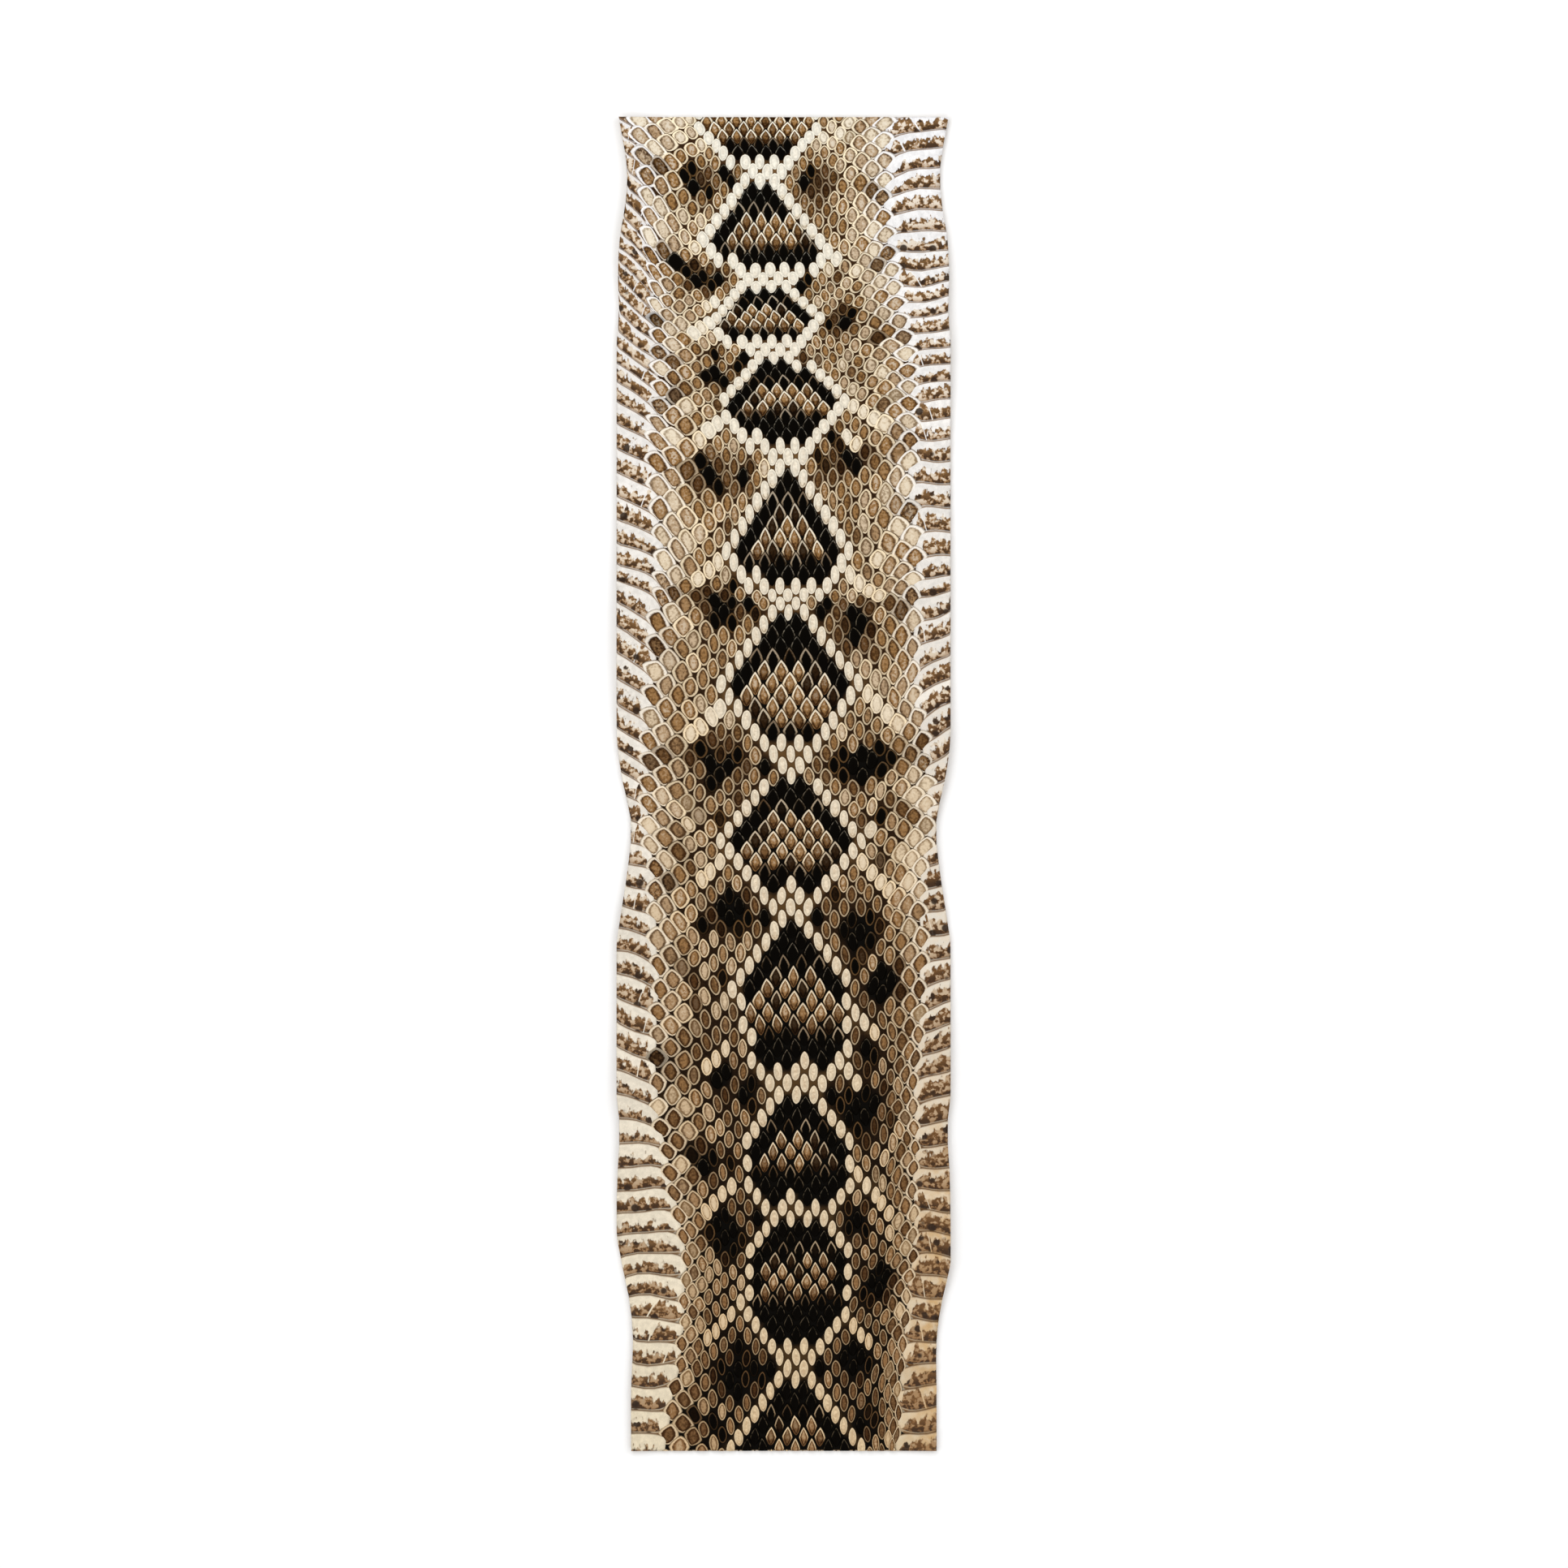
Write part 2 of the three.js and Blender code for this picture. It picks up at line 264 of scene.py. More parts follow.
def border_column(border, half_row):
    """The column of a diamond's border at one half-row."""
    rows, first = {}, border[0]
    for column, row in walk(border):
        rows.setdefault(row, []).append(column)
    known = sorted(rows)
    values = [min(rows[row], key=abs) for row in known]
    if half_row < first[1]:
        return first[0] - math.copysign(first[1] - half_row, first[0]) * 0.9
    return float(np.interp(half_row, known, values))


def clamp(value, low=0, high=1):
    return min(max(value, low), high)


# The chances that a flank scale is creamy all over, strewn dark at the head end, lighter than its patch, or a
# pale one of the outermost columns
CREAMY_CHANCE = 0.12
STREWN_CHANCE = 0.13
LIGHTER_CHANCE = 0.2
PALE_EDGE_CHANCE = 0.2


class Tones:
    """How each scale is coloured. Cream and dark run from 0 to 1, shade is its brightness, fill is 1 inside a
    diamond, and stain is how brown the base of a cream scale is."""

    def __init__(self):
        self.rng = np.random.default_rng(SEED)
        self.scales = {}
        for column in range(-COLUMNS, COLUMNS + 1):
            for half_row in range(FIRST_HALF_ROW, LAST_HALF_ROW + 1):
                if (column + half_row) % 2 == 0:
                    self.scales[column, half_row] = self.flank_scale(column, half_row)
        for run in PALE_RUNS:
            self.paint_pale_run(*run)
        for diamond in DIAMONDS:
            self.paint_diamond(diamond)
        for cluster in CLUSTERS:
            self.paint_cluster(*cluster)

    def flank_scale(self, column, half_row):
        """The tone that a scale has where no diamond, border or pale run is painted over it."""
        tail_share = 1 - half_row / LAST_HALF_ROW
        head_share = 1 - tail_share
        shade = 1 + (0.32 - 0.1 * tail_share) * self.rng.standard_normal() - 0.5 * head_share
        cream = np.clip(self.rng.normal(0.12 + 0.16 * tail_share, 0.26), 0, 0.8)
        if self.rng.random() < CREAMY_CHANCE:
            cream = self.rng.uniform(0.8, 1)
        outer = clamp((abs(column) - 9) / 4)
        cream = min(cream + 0.3 * outer * tail_share * self.rng.random(), 0.95 - 0.2 * outer)
        shade += 0.25 * tail_share * outer - 0.15 * head_share - 0.2 * (column > 0) * tail_share**2
        strewn = self.rng.random() < STREWN_CHANCE * head_share * (1 - outer)
        dark = self.rng.uniform(0.2, 0.9) if strewn else 0
        for middle, row, sideways, onwards in PATCHES:
            distance = ((column - middle) / sideways) ** 2 + ((half_row - row) / onwards) ** 2
            dark = max(dark, 1.3 - 0.2 * tail_share - 0.5 * distance)
            shade -= 0.2 * math.exp(-distance / 4)
            cream *= 1 - math.exp(-distance / 6)
        for side, spots in ((-1, LEFT_SPOTS), (1, RIGHT_SPOTS)):
            for row in spots:
                distance = ((column - side * COLUMNS) / 1.6) ** 2 + ((half_row - row) / 1.1) ** 2
                dark = max(dark, 0.8 - 0.5 * distance)
        if self.rng.random() < LIGHTER_CHANCE:
            dark *= 0.45
        if abs(column) > 12 and self.rng.random() < PALE_EDGE_CHANCE:
            cream = self.rng.uniform(0.6, 0.85)
        dark = clamp(dark)
        shade = clamp(shade, 0.25, 1.4)
        return {"cream": cream * (1 - dark), "dark": dark, "shade": shade, "fill": 0, "stain": 0}

    def paint(self, column, half_row, **tone):
        if (column, half_row) in self.scales:
            self.scales[column, half_row].update(tone)

    def paint_pale_run(self, column, half_row, steps):
        side = 1 if column > 0 else -1
        for step in range(steps):
            place_now = (column + side * step, half_row + step)
            if (place_now[0] + place_now[1]) % 2:
                place_now = (place_now[0], place_now[1] + 1)
            self.paint(*place_now, cream=0.98 - 0.05 * step - 0.15 * self.rng.random(), dark=0, shade=1.2)

    def paint_diamond(self, diamond):
        first, last = diamond.dark
        middle, band_start, half_width, band_end = diamond.band
        for half_row in range(first, last + 1):
            left = border_column(diamond.left, half_row)
            right = border_column(diamond.right, half_row)
            reach = min(half_width + half_row - band_start, 8 - 4.5 * half_row / LAST_HALF_ROW)
            for column in range(math.ceil(left + 0.6), math.ceil(right - 0.6)):
                in_band = band_start <= half_row <= band_end and abs(column - middle) <= reach
                edge = abs(column - middle) > reach - 1 or half_row == band_end
                dim = self.rng.choice((0, 0.25, 0.5), p=(0.2, 0.45, 0.35) if edge else (0.65, 0.3, 0.05))
                near = half_row - band_end == 1 or band_start - half_row == 1
                dark = dim if in_band else self.rng.uniform(*((0.55, 0.9) if near else (0.88, 1)))
                self.paint(column, half_row, cream=0, dark=dark, shade=self.rng.uniform(0.65, 1.1), fill=1)
        widest = max(abs(column) for column, _ in diamond.left)
        corner_row = next(row for column, row in diamond.left if abs(column) == widest)
        for border in (diamond.left, diamond.right):
            for column, half_row in walk(border):
                stain = 0.8 if half_row < corner_row else 0
                self.paint(column, half_row, cream=1, dark=0, shade=1, fill=0, stain=stain)

    def paint_cluster(self, first, middle, half_width, rows):
        for row in range(rows):
            reach = half_width - row
            for column in range(middle - reach, middle + reach + 1):
                self.paint(column, first + row, cream=1, dark=0, shade=1, fill=0, stain=0)


def linear(red, green, blue):
    """A colour given in display values from 0 to 255, as Blender's own linear values."""
    def channel(value):
        value /= 255
        return value / 12.92 if value <= 0.04045 else ((value + 0.055) / 1.055) ** 2.4
    return channel(red), channel(green), channel(blue)


def colour_property(name, description, red, green, blue):
    return bpy.props.FloatVectorProperty(
        name=name, description=description, default=linear(red, green, blue),
        subtype="COLOR", size=3, min=0, max=1,
    )


def length_property(name, description, default_mm, top_mm):
    return bpy.props.FloatProperty(
        name=name, description=description, default=default_mm * MM,
        min=0, max=top_mm * MM, unit="LENGTH", precision=5,
    )


class SnakeSkinSizes(bpy.types.PropertyGroup):
    """Sizes of the leather, its scales and its scutes."""
    leather: length_property("Leather", "Thickness of the leather in its grooves", 0.7, 3)
    scale_rise: length_property("Scale Rise", "Height of a scale's keel over the grooves", 0.65, 2)
    scute_rise: length_property("Scute Rise", "Height of a belly scute's free edge", 0.45, 2)
    edge_lift: length_property("Edge Lift", "How far the sides stand off the table at most", 2.2, 20)
    tip_tilt: bpy.props.FloatProperty(
        name="Tip Tilt", description="How steeply each scale rises to its free tip",
        default=math.radians(2.5), min=0, max=math.radians(20), subtype="ANGLE",
    )


class SnakeSkinColours(bpy.types.PropertyGroup):
    """Colours at the two ends of the strip, which fade into each other along it."""
    cream_tail: colour_property("Cream, Tail End", "Border scales near the tail", 244, 239, 224)
    cream_head: colour_property("Cream, Head End", "Border scales near the head", 226, 200, 160)
    rim_tail: colour_property("Rim, Tail End", "Pale rims of scales near the tail", 249, 234, 202)
    rim_head: colour_property("Rim, Head End", "Pale rims of scales near the head", 212, 180, 136)
    brown_tail: colour_property("Brown, Tail End", "Middles of scales near the tail", 152, 114, 68)
    brown_head: colour_property("Brown, Head End", "Middles of scales near the head", 138, 102, 66)
    groove_tail: colour_property("Grooves, Tail End", "Skin between scales near the tail", 56, 35, 17)
    groove_head: colour_property("Grooves, Head End", "Skin between scales near the head", 8, 5, 2)
    belly_tail: colour_property("Belly, Tail End", "Belly scutes near the tail", 238, 237, 238)
    belly_head: colour_property("Belly, Head End", "Belly scutes near the head", 226, 211, 182)
    black: colour_property("Black", "The diamonds and the dark patches", 6, 4, 2)
    burnt: colour_property("Burnt Brown", "Patches of the belly scutes near the head", 112, 72, 32)
    amber: colour_property("Amber", "Stain on the right belly scutes near the head", 200, 158, 100)
    suede: colour_property("Suede", "Fleshy underside of the leather", 205, 182, 148)


class SnakeSkinStage(bpy.types.PropertyGroup):
    """The floor and the light."""
    floor: colour_property("Floor", "Colour of the plain floor", 250, 250, 250)
    light: bpy.props.FloatProperty(
        name="Light", description="Strength of each soft box", default=6, min=0, max=100, unit="POWER",
    )
    sky: bpy.props.FloatProperty(
        name="Room Light", description="Strength of the even light of the room", default=0.3, min=0, max=5,
    )


class Nodes:
    """Short ways to add and join nodes in a shader or geometry tree."""

    def __init__(self, tree):
        self.tree = tree

    def add(self, kind, *inputs, **settings):
        """A node. The inputs are (name or number, value or socket) pairs."""
        node = self.tree.nodes.new(kind)
        for name, value in settings.items():
            setattr(node, name, value)
        for name, value in inputs:
            self.put(node.inputs[name], value)
        return node

    def put(self, socket, value):
        if isinstance(value, bpy.types.NodeSocket):
            self.tree.links.new(value, socket)
        else:
            socket.default_value = value

    def math(self, operation, *values):
        return self.add("ShaderNodeMath", *enumerate(values), operation=operation).outputs[0]

    def plus(self, first, second):
        return self.math("ADD", first, second)

    def minus(self, first, second):
        return self.math("SUBTRACT", first, second)

    def times(self, result, *others):
        for other in others:
            result = self.math("MULTIPLY", result, other)
        return result

    def most(self, first, second):
        return self.math("MAXIMUM", first, second)

    def less(self, value):
        """One minus the value."""
        return self.minus(1, value)

    def ramp(self, value, low, high, start=0, end=1, smooth=True):
        """The value's way from low to high, as start to end."""
        return self.add(
            "ShaderNodeMapRange", (0, value), (1, low), (2, high), (3, start), (4, end),
            interpolation_type="SMOOTHSTEP" if smooth else "LINEAR",
        ).outputs[0]


# The bump's strength, and the depth in metres of the scales' grain and of the suede's nap
BUMP_STRENGTH = 0.6
GRAIN_DEPTH = 0.00008
NAP_DEPTH = 0.00012
# Multipliers of a scale's brown: in its darkest ring, plain and on a creamy scale, and on a dark scale
RING_BROWN = (0.14, 0.095, 0.06)
RING_CREAM = (0.34, 0.26, 0.17)
EMBER = (0.3, 0.24, 0.19)


class Finish(Nodes):
    """A material under construction, with what all of the leather's finishes share."""

    def __init__(self, name, colours):
        self.colours = colours
        self.material = bpy.data.materials.new(name)
        self.material.use_nodes = True
        super().__init__(self.material.node_tree)
        self.tree.nodes.clear()
        self.where = self.add("ShaderNodeTexCoord").outputs["Object"]
        self.xyz = self.add("ShaderNodeSeparateXYZ", (0, self.where)).outputs
        half = LENGTH * MM / 2
        self.tailwards = self.ramp(self.xyz[1], -half, half, smooth=False)

    def colour(self, value):
        return value if isinstance(value, bpy.types.NodeSocket) else (*value[:3], 1)

    def blend(self, share, first, second, mode="MIX"):
        """Two colours blended."""
        return self.add(
            "ShaderNodeMix", (0, share), (6, self.colour(first)), (7, self.colour(second)),
            data_type="RGBA", blend_type=mode,
        ).outputs[2]

    def tinted(self, first, second):
        """Two colours multiplied."""
        return self.blend(1, first, second, "MULTIPLY")

    def shaded(self, colour, brightness):
        """A colour multiplied by a number."""
        grey = self.add("ShaderNodeCombineColor", (0, brightness), (1, brightness), (2, brightness))
        return self.tinted(colour, grey.outputs[0])

    def lengthwise(self, name):
        """A colour that fades along the strip."""
        head, tail = (getattr(self.colours, f"{name}_{end}") for end in ("head", "tail"))
        return self.blend(self.tailwards, head, tail)

    def fade(self, head, tail, end=1):
        """A number that fades along the strip, up to this share of its length."""
        return self.ramp(self.tailwards, 0, end, head, tail)

    def attribute(self, name):
        return self.add("ShaderNodeAttribute", attribute_name=name).outputs["Fac"]

    def noise(self, scale, detail=2, roughness=0.5, where=None):
        return self.add(
            "ShaderNodeTexNoise", ("Vector", where or self.where), ("Scale", scale), ("Detail", detail),
            ("Roughness", roughness),
        ).outputs["Fac"]

    def vary(self, noise, low, high):
        """A number that follows a noise from low to high."""
        return self.ramp(noise, 0.3, 0.7, low, high)

    def drift(self, noise, amount):
        """A noise that sways to both sides of zero."""
        return self.times(self.minus(noise, 0.5), amount)

    def shader(self, colour, roughness, height, depth, specular):
        bump = self.add(
            "ShaderNodeBump", ("Height", height), ("Distance", depth), ("Strength", BUMP_STRENGTH),
        )
        node = self.add(
            "ShaderNodeBsdfPrincipled", ("Base Color", colour), ("Roughness", roughness),
            ("Normal", bump.outputs[0]), ("Specular IOR Level", specular),
        )
        self.add("ShaderNodeOutputMaterial", ("Surface", node.outputs[0]))
        return self.material


def scale_finish(colours):
    """Keeled scales: a pale rim round a mottled brown middle, or cream, or black."""
    n = Finish("keeled_scale", colours)
    ring, tipwards, outer, cream, dark, shade, shingle = map(
        n.attribute, ("ring", "tipwards", "outer", "cream", "dark", "shade", "shingle"),
    )
    fleck, fine, cloud, cloudy = map(n.noise, (2400, 5200, 800, 1250))
    wander = n.plus(ring, n.drift(fleck, 0.16))
    rim = n.ramp(n.plus(wander, n.times(shingle, tipwards, 0.1)), n.fade(0.62, 0.56, 0.6), 0.72)
    rim = n.times(rim, n.most(n.less(shingle), n.ramp(tipwards, -0.4, 0.15)))
    ridge = n.times(n.ramp(wander, 0.2, 0.58), n.ramp(wander, 0.76, 0.6))
    # Painted shade: the base half of each band scale, which the next scale overlaps, is darkened
    overlap_shade = n.times(shingle, n.ramp(tipwards, 0, -0.5))

    # Middles, mottled and darkest in a ring inside the rim, and dark on the scales of the flanks' patches
    brown, pale, rim_colour = map(n.lengthwise, ("brown", "cream", "rim"))
    mottle = n.times(n.vary(cloudy, n.fade(0.9, 0.4), n.fade(1.9, 1.5)), shade)
    depth = n.times(mottle, n.ramp(ridge, 0, 1, 1.2, 0.3), n.ramp(overlap_shade, 0, 1, 1, 0.4))
    tan = n.blend(n.ramp(cream, 0.1, 0.9, 0, 0.75), brown, n.blend(0.5, rim_colour, pale))
    deep = n.blend(n.ramp(cream, 0.2, 0.9), RING_BROWN, RING_CREAM)
    deep = n.tinted(tan, deep)
    middle = n.blend(n.ramp(depth, 0, 0.95), deep, tan)
    middle = n.blend(n.times(n.ramp(depth, 0.9, 1.9, 0, 0.4), n.ramp(ring, 0.55, 0.1)), middle, pale)
    spread = n.most(n.less(outer), n.times(n.ramp(cloud, 0.5, 0.42), 0.85))
    ember = n.tinted(middle, EMBER)
    middle = n.blend(n.times(n.ramp(dark, 0.05, 0.4), spread), middle, ember)
    middle = n.blend(n.times(n.ramp(dark, 0.3, 0.6), spread), middle, n.blend(outer, colours.black, ember))

    # Rims, as pale as the belly at the sides, which turn brown and then black on the dark scales
    dull = n.times(n.ramp(cream, 0.4, 0, 0, 0.2), n.less(shingle))
    rim_colour = n.blend(dull, rim_colour, brown)
    rim_colour = n.blend(n.times(shingle, n.ramp(tipwards, -0.2, 0.6), 0.8), rim_colour, pale)
    belly = n.lengthwise("belly")
    rim_colour = n.blend(n.times(outer, n.fade(0.4, 1)), rim_colour, belly)
    bright = n.ramp(shade, 0.2, 1.2, n.ramp(outer, 0, 1, 0.62, 0.96), 1.08, smooth=False)
    rim_colour = n.shaded(rim_colour, n.times(bright, n.vary(fine, 0.9, 1.08)))
    worn = n.ramp(dark, n.times(shingle, 0.28), n.ramp(shingle, 0, 1, 0.5, 0.78), smooth=False)
    worn = n.times(worn, n.less(outer))
    worn_rim = n.blend(worn, rim_colour, n.blend(0.6, brown, colours.black))
    plain = n.blend(rim, middle, worn_rim)

    # Cream scales, a little browner in the middle and stained at the base on the upper borders
    pale = n.shaded(pale, n.times(n.ramp(cloudy, 0.35, 0.6, 0.88, 1.03), n.ramp(ridge, 0, 1, 1, 0.8)))
    browned = n.times(n.ramp(wander, 0.62, 0.2), n.ramp(cloud, 0.4, 0.6, 0.04, 0.3), n.fade(1.5, 0.6))
    pale = n.blend(browned, pale, brown)
    stain = n.ramp(n.plus(tipwards, n.times(cloud, 0.8)), 0.15, -0.1)
    pale = n.blend(n.times(n.attribute("stain"), stain, 0.85), pale, middle)
    tone = n.blend(n.ramp(cream, 0.8, 0.95), plain, pale)

    # Black scales, with a thin golden line round the tip
    tip = n.times(n.ramp(wander, 0.68, 0.78), n.ramp(wander, 0.95, 0.84), n.ramp(tipwards, -0.3, 0.3))
    gold = n.times(tip, n.ramp(cloud, 0.38, 0.62, 0.1, 1))
    black = n.blend(n.times(gold, n.fade(0.12, 0.26)), colours.black, rim_colour)
    tone = n.blend(n.ramp(dark, 0.6, 0.95), tone, black)

    # The steep side of each scale, down into the groove, dark like the groove: partly the skin's own colour,
    # partly a painted shadow line round each scale
    groove = n.lengthwise("groove")
    edge = n.blend(n.fade(0.1, 0.35), groove, brown)
    edge = n.blend(n.most(n.ramp(dark, 0.2, 0.8), n.times(shingle, 0.7)), edge, colours.black)
    edge = n.blend(n.times(outer, n.ramp(cream, 0.8, 0.6), 0.7), edge, rim_colour)
    tone = n.blend(n.ramp(ring, 0.84, 0.96), tone, edge)
    roughness = n.vary(fleck, 0.42, 0.6)
    height = n.plus(n.times(fleck, 0.6), n.times(cloud, 0.4))
    return n.shader(tone, roughness, height, GRAIN_DEPTH, 0.02)


def scute_finish(colours):
    """Belly scutes: a white free edge, and a mottled brown patch along the base."""
    n = Finish("belly_scute", colours)
    outwards, headwards, speckle, spot, shade = map(
        n.attribute, ("outwards", "headwards", "speckle", "spot", "shade"),
    )
    squeezed = n.add("ShaderNodeVectorMath", (0, n.where), (1, (1, 0.5, 1)), operation="MULTIPLY").outputs[0]
    flames = n.noise(640, roughness=0.55, where=squeezed)
    blotch = n.noise(420)
    mottle = n.noise(560, roughness=0.55)
    fleck, fine, cloud = map(n.noise, (1700, 4200, 300))
    dots = n.add("ShaderNodeTexVoronoi", ("Vector", n.where), ("Scale", 210))
    chosen = n.add("ShaderNodeSeparateColor", (0, dots.outputs["Color"])).outputs[0]

    # The pale ground, with an amber stain on the right near the head
    pale = n.lengthwise("belly")
    x, y = n.xyz[0], n.xyz[1]
    amber = n.times(n.ramp(x, 0.03, 0.055), n.ramp(y, -0.06, -0.18), n.vary(cloud, 0.3, 1))
    pale = n.blend(amber, pale, colours.amber)
    pale = n.shaded(pale, n.times(n.vary(fine, 0.92, 1.03), n.ramp(mottle, 0.35, 0.65, 0.9, 1.03), shade))
    rim_colour = n.lengthwise("rim")
    brown = n.blend(0.5, n.lengthwise("brown"), colours.brown_tail)
    brown = n.blend(0.25, brown, colours.suede, "MULTIPLY")

    # The patch starts partway across the scute, further back at its inner end, and has a ragged edge
    inner = n.ramp(outwards, 0.08, 0.3, 1, 0, smooth=False)
    bend = n.less(n.math("SQRT", n.less(n.times(inner, inner))))
    right = n.times(n.ramp(x, -0.01, 0.01), n.ramp(n.tailwards, 0.7, 0.45))
    left = n.times(n.ramp(x, 0.01, -0.01), n.ramp(n.tailwards, 0.7, 0.95))
    rich = n.plus(right, left)
    begin = n.plus(n.fade(0.42, 0.32), n.times(bend, 0.6))
    begin = n.minus(begin, n.times(rich, 0.16))
    pale = n.blend(n.times(rich, n.ramp(mottle, 0.4, 0.6, 0.05, 0.3)), pale, n.blend(0.5, brown, rim_colour))
    depth = n.math("DIVIDE", n.minus(headwards, begin), 0.5)
    ragged = n.plus(depth, n.drift(flames, 2.2))
    ragged = n.plus(ragged, n.drift(blotch, 0.8))
    ragged = n.plus(ragged, n.times(n.minus(speckle, 0.75), 0.9))

    # On some scutes a seam sets a browner plate apart at the inner end
    seam = n.minus(outwards, n.plus(n.attribute("split"), n.times(headwards, 0.12)))
    plate = n.ramp(seam, 0.01, -0.01)
    ragged = n.plus(ragged, n.times(plate, n.ramp(n.math("ABSOLUTE", seam), 0.01, 0.05), 0.7))
    cover = n.times(n.ramp(ragged, 0.04, n.fade(0.34, 0.2)), n.ramp(headwards, 0.98, 0.9))
    cover = n.times(cover, n.ramp(n.math("ABSOLUTE", seam), 0.006, 0.014))
    outline = n.times(n.ramp(ragged, 0.42, 0.14), n.ramp(headwards, 0.6, 0.3, 0.8, 0.4))
    light = n.times(n.ramp(mottle, 0.48, 0.6), n.ramp(headwards, 1.0, 0.6, 0.3, 1), n.fade(0.4, 1, 0.6))
    grain = n.times(n.vary(fine, 0.8, 1.2), n.ramp(outline, 0, 1, 1.1, 0.5))
    burnt = n.times(n.ramp(n.tailwards, 0.75, 0.4), n.ramp(x, -0.01, 0.01, 0.45, 1))
    brown = n.blend(n.times(burnt, 0.6), brown, colours.burnt)
    patch = n.shaded(brown, grain)
    patch = n.blend(n.times(light, 0.75), patch, n.blend(0.5, pale, rim_colour))
    deep = n.ramp(mottle, n.ramp(burnt, 0, 1, 0.535, 0.57), 0.43)
    deep = n.times(deep, n.ramp(headwards, 0.4, 0.8, 0.5, 1))
    patch = n.blend(n.times(deep, 0.95), patch, colours.groove_tail)
    base = n.times(n.ramp(headwards, 0.8, 0.95), n.ramp(blotch, 0.4, 0.6, 0.3, 1))
    patch = n.blend(n.times(base, 0.65), patch, colours.groove_tail)
    tone = n.blend(cover, pale, patch)

    # Black dots, which crowd on the scutes beside the dark spots of the flanks
    crowd = n.minus(0.42, n.times(spot, 0.35))
    dot = n.times(n.ramp(dots.outputs["Distance"], 0.34, 0.22), n.math("GREATER_THAN", chosen, crowd))
    dot = n.times(dot, n.ramp(ragged, 0.15, 0.3), n.ramp(outwards, 0.02, 0.1))
    tone = n.blend(n.times(dot, 0.95), tone, n.blend(0.6, colours.black, colours.groove_tail))

    # A brown line along the base, under the next scute's free edge, and a darker one round the free edge:
    # partly the scutes' own brown, partly painted shadow of the step between scutes
    line = n.times(n.ramp(headwards, 0.93, 1.0), n.ramp(outwards, 0.04, 0.12))
    tone = n.blend(n.times(line, n.fade(0.9, 0.5)), tone, brown)
    free_edge_line_and_shadow = n.ramp(headwards, n.fade(0.07, 0.04), -0.02)
    tone = n.blend(n.times(free_edge_line_and_shadow, 0.9), tone, n.blend(n.fade(0.35, 0.1, 0.6), brown, colours.black))
    roughness = n.vary(fleck, 0.34, 0.5)
    return n.shader(tone, roughness, n.plus(n.times(fine, 0.5), n.times(fleck, 0.5)), GRAIN_DEPTH, 0.2)


def leather_finish(colours):
    """The skin under and between the scales, its cut edge and its suede underside."""
    n = Finish("tanned_leather", colours)
    cream, dark, belly, under, cut, column, half_row = map(
        n.attribute, ("cream", "dark", "belly", "under", "cut", "column", "half_row"),
    )

    # A net of lines in the underside, where the scales and scutes meet on the other face
    rising = n.times(n.plus(half_row, column), 0.5)
    falling = n.times(n.minus(half_row, column), 0.5)
    scute = n.times(n.plus(half_row, 1), 0.5)
    lines = [
        n.ramp(n.math("ABSOLUTE", n.minus(n.math("FRACT", way), 0.5)), 0.12, 0.02)
        for way in (rising, falling, scute)
    ]
    outside = n.ramp(n.math("ABSOLUTE", column), 14.2, 15)
    net = n.most(n.times(n.most(lines[0], lines[1]), n.less(outside)), n.times(lines[2], outside))
    net = n.times(net, under)
    fleck = n.noise(2200, 3, 0.6)
    cloud = n.noise(160, 3)
    nap = n.noise(5200)

    # Grooves between the scales, black under the dark ones, and pale skin between the scutes
    groove = n.shaded(n.lengthwise("groove"), n.vary(fleck, 0.6, 1.4))
    groove = n.blend(n.times(cream, n.fade(0.15, 0.4)), groove, colours.brown_tail)
    groove = n.blend(dark, groove, colours.black)
    pale = n.lengthwise("belly")
    bare = n.ramp(n.plus(belly, n.drift(fleck, 0.5)), 0.45, 0.6)
    top = n.blend(n.times(bare, n.fade(0.45, 0.95)), groove, pale)
    nappy = n.times(n.vary(cloud, 0.82, 1.08), n.vary(nap, 0.9, 1.08), n.ramp(net, 0, 1, 1, 0.86))
    suede = n.shaded(colours.suede, nappy)
    suede = n.blend(n.times(dark, 0.28), suede, colours.groove_tail)
    edge = n.blend(n.ramp(fleck, 0.35, 0.65), colours.brown_tail, colours.suede)
    tone = n.blend(under, n.blend(cut, top, edge), suede)
    roughness = n.ramp(under, 0, 1, 0.6, 0.92)
    height = n.plus(n.times(fleck, 0.5), n.times(nap, n.ramp(under, 0, 1, 0.2, 0.8)))
    return n.shader(tone, roughness, n.minus(height, n.times(net, 0.3)), NAP_DEPTH, 0.04)


def new_object(name, mesh):
    piece = bpy.data.objects.new(name, mesh)
    bpy.context.scene.collection.objects.link(piece)
    return piece


def write_attributes(mesh, values):
    """Whole numbers in an array stay whole, and all else becomes floats or vectors."""
    for name, value in values.items():
        if getattr(value, "dtype", None) == np.int32:
            kind, field = "INT", "value"
        else:
            value = np.asarray(value, float)
            kind, field = ("FLOAT_VECTOR", "vector") if value.ndim == 2 else ("FLOAT", "value")
        mesh.attributes.new(name, kind, "POINT").data.foreach_set(field, value.ravel())


def read_points(mesh):
    """A mesh's vertices in millimetres."""
    points = np.empty(len(mesh.vertices) * 3)
    mesh.vertices.foreach_get("co", points)
    return points.reshape(-1, 3) / MM


def write_points(mesh, points):
    mesh.vertices.foreach_set("co", (points * MM).ravel())
    mesh.update()


def ladder(loop):
    """Faces that close a loop whose first point and halfway point are its two tips."""
    half = len(loop) // 2
    right, left = loop[1:half], loop[:half:-1]
    faces = [(loop[0], right[0], left[0]), (right[-1], loop[half], left[-1])]
    faces += [(left[k], right[k], right[k + 1], left[k + 1]) for k in range(half - 2)]
    return faces


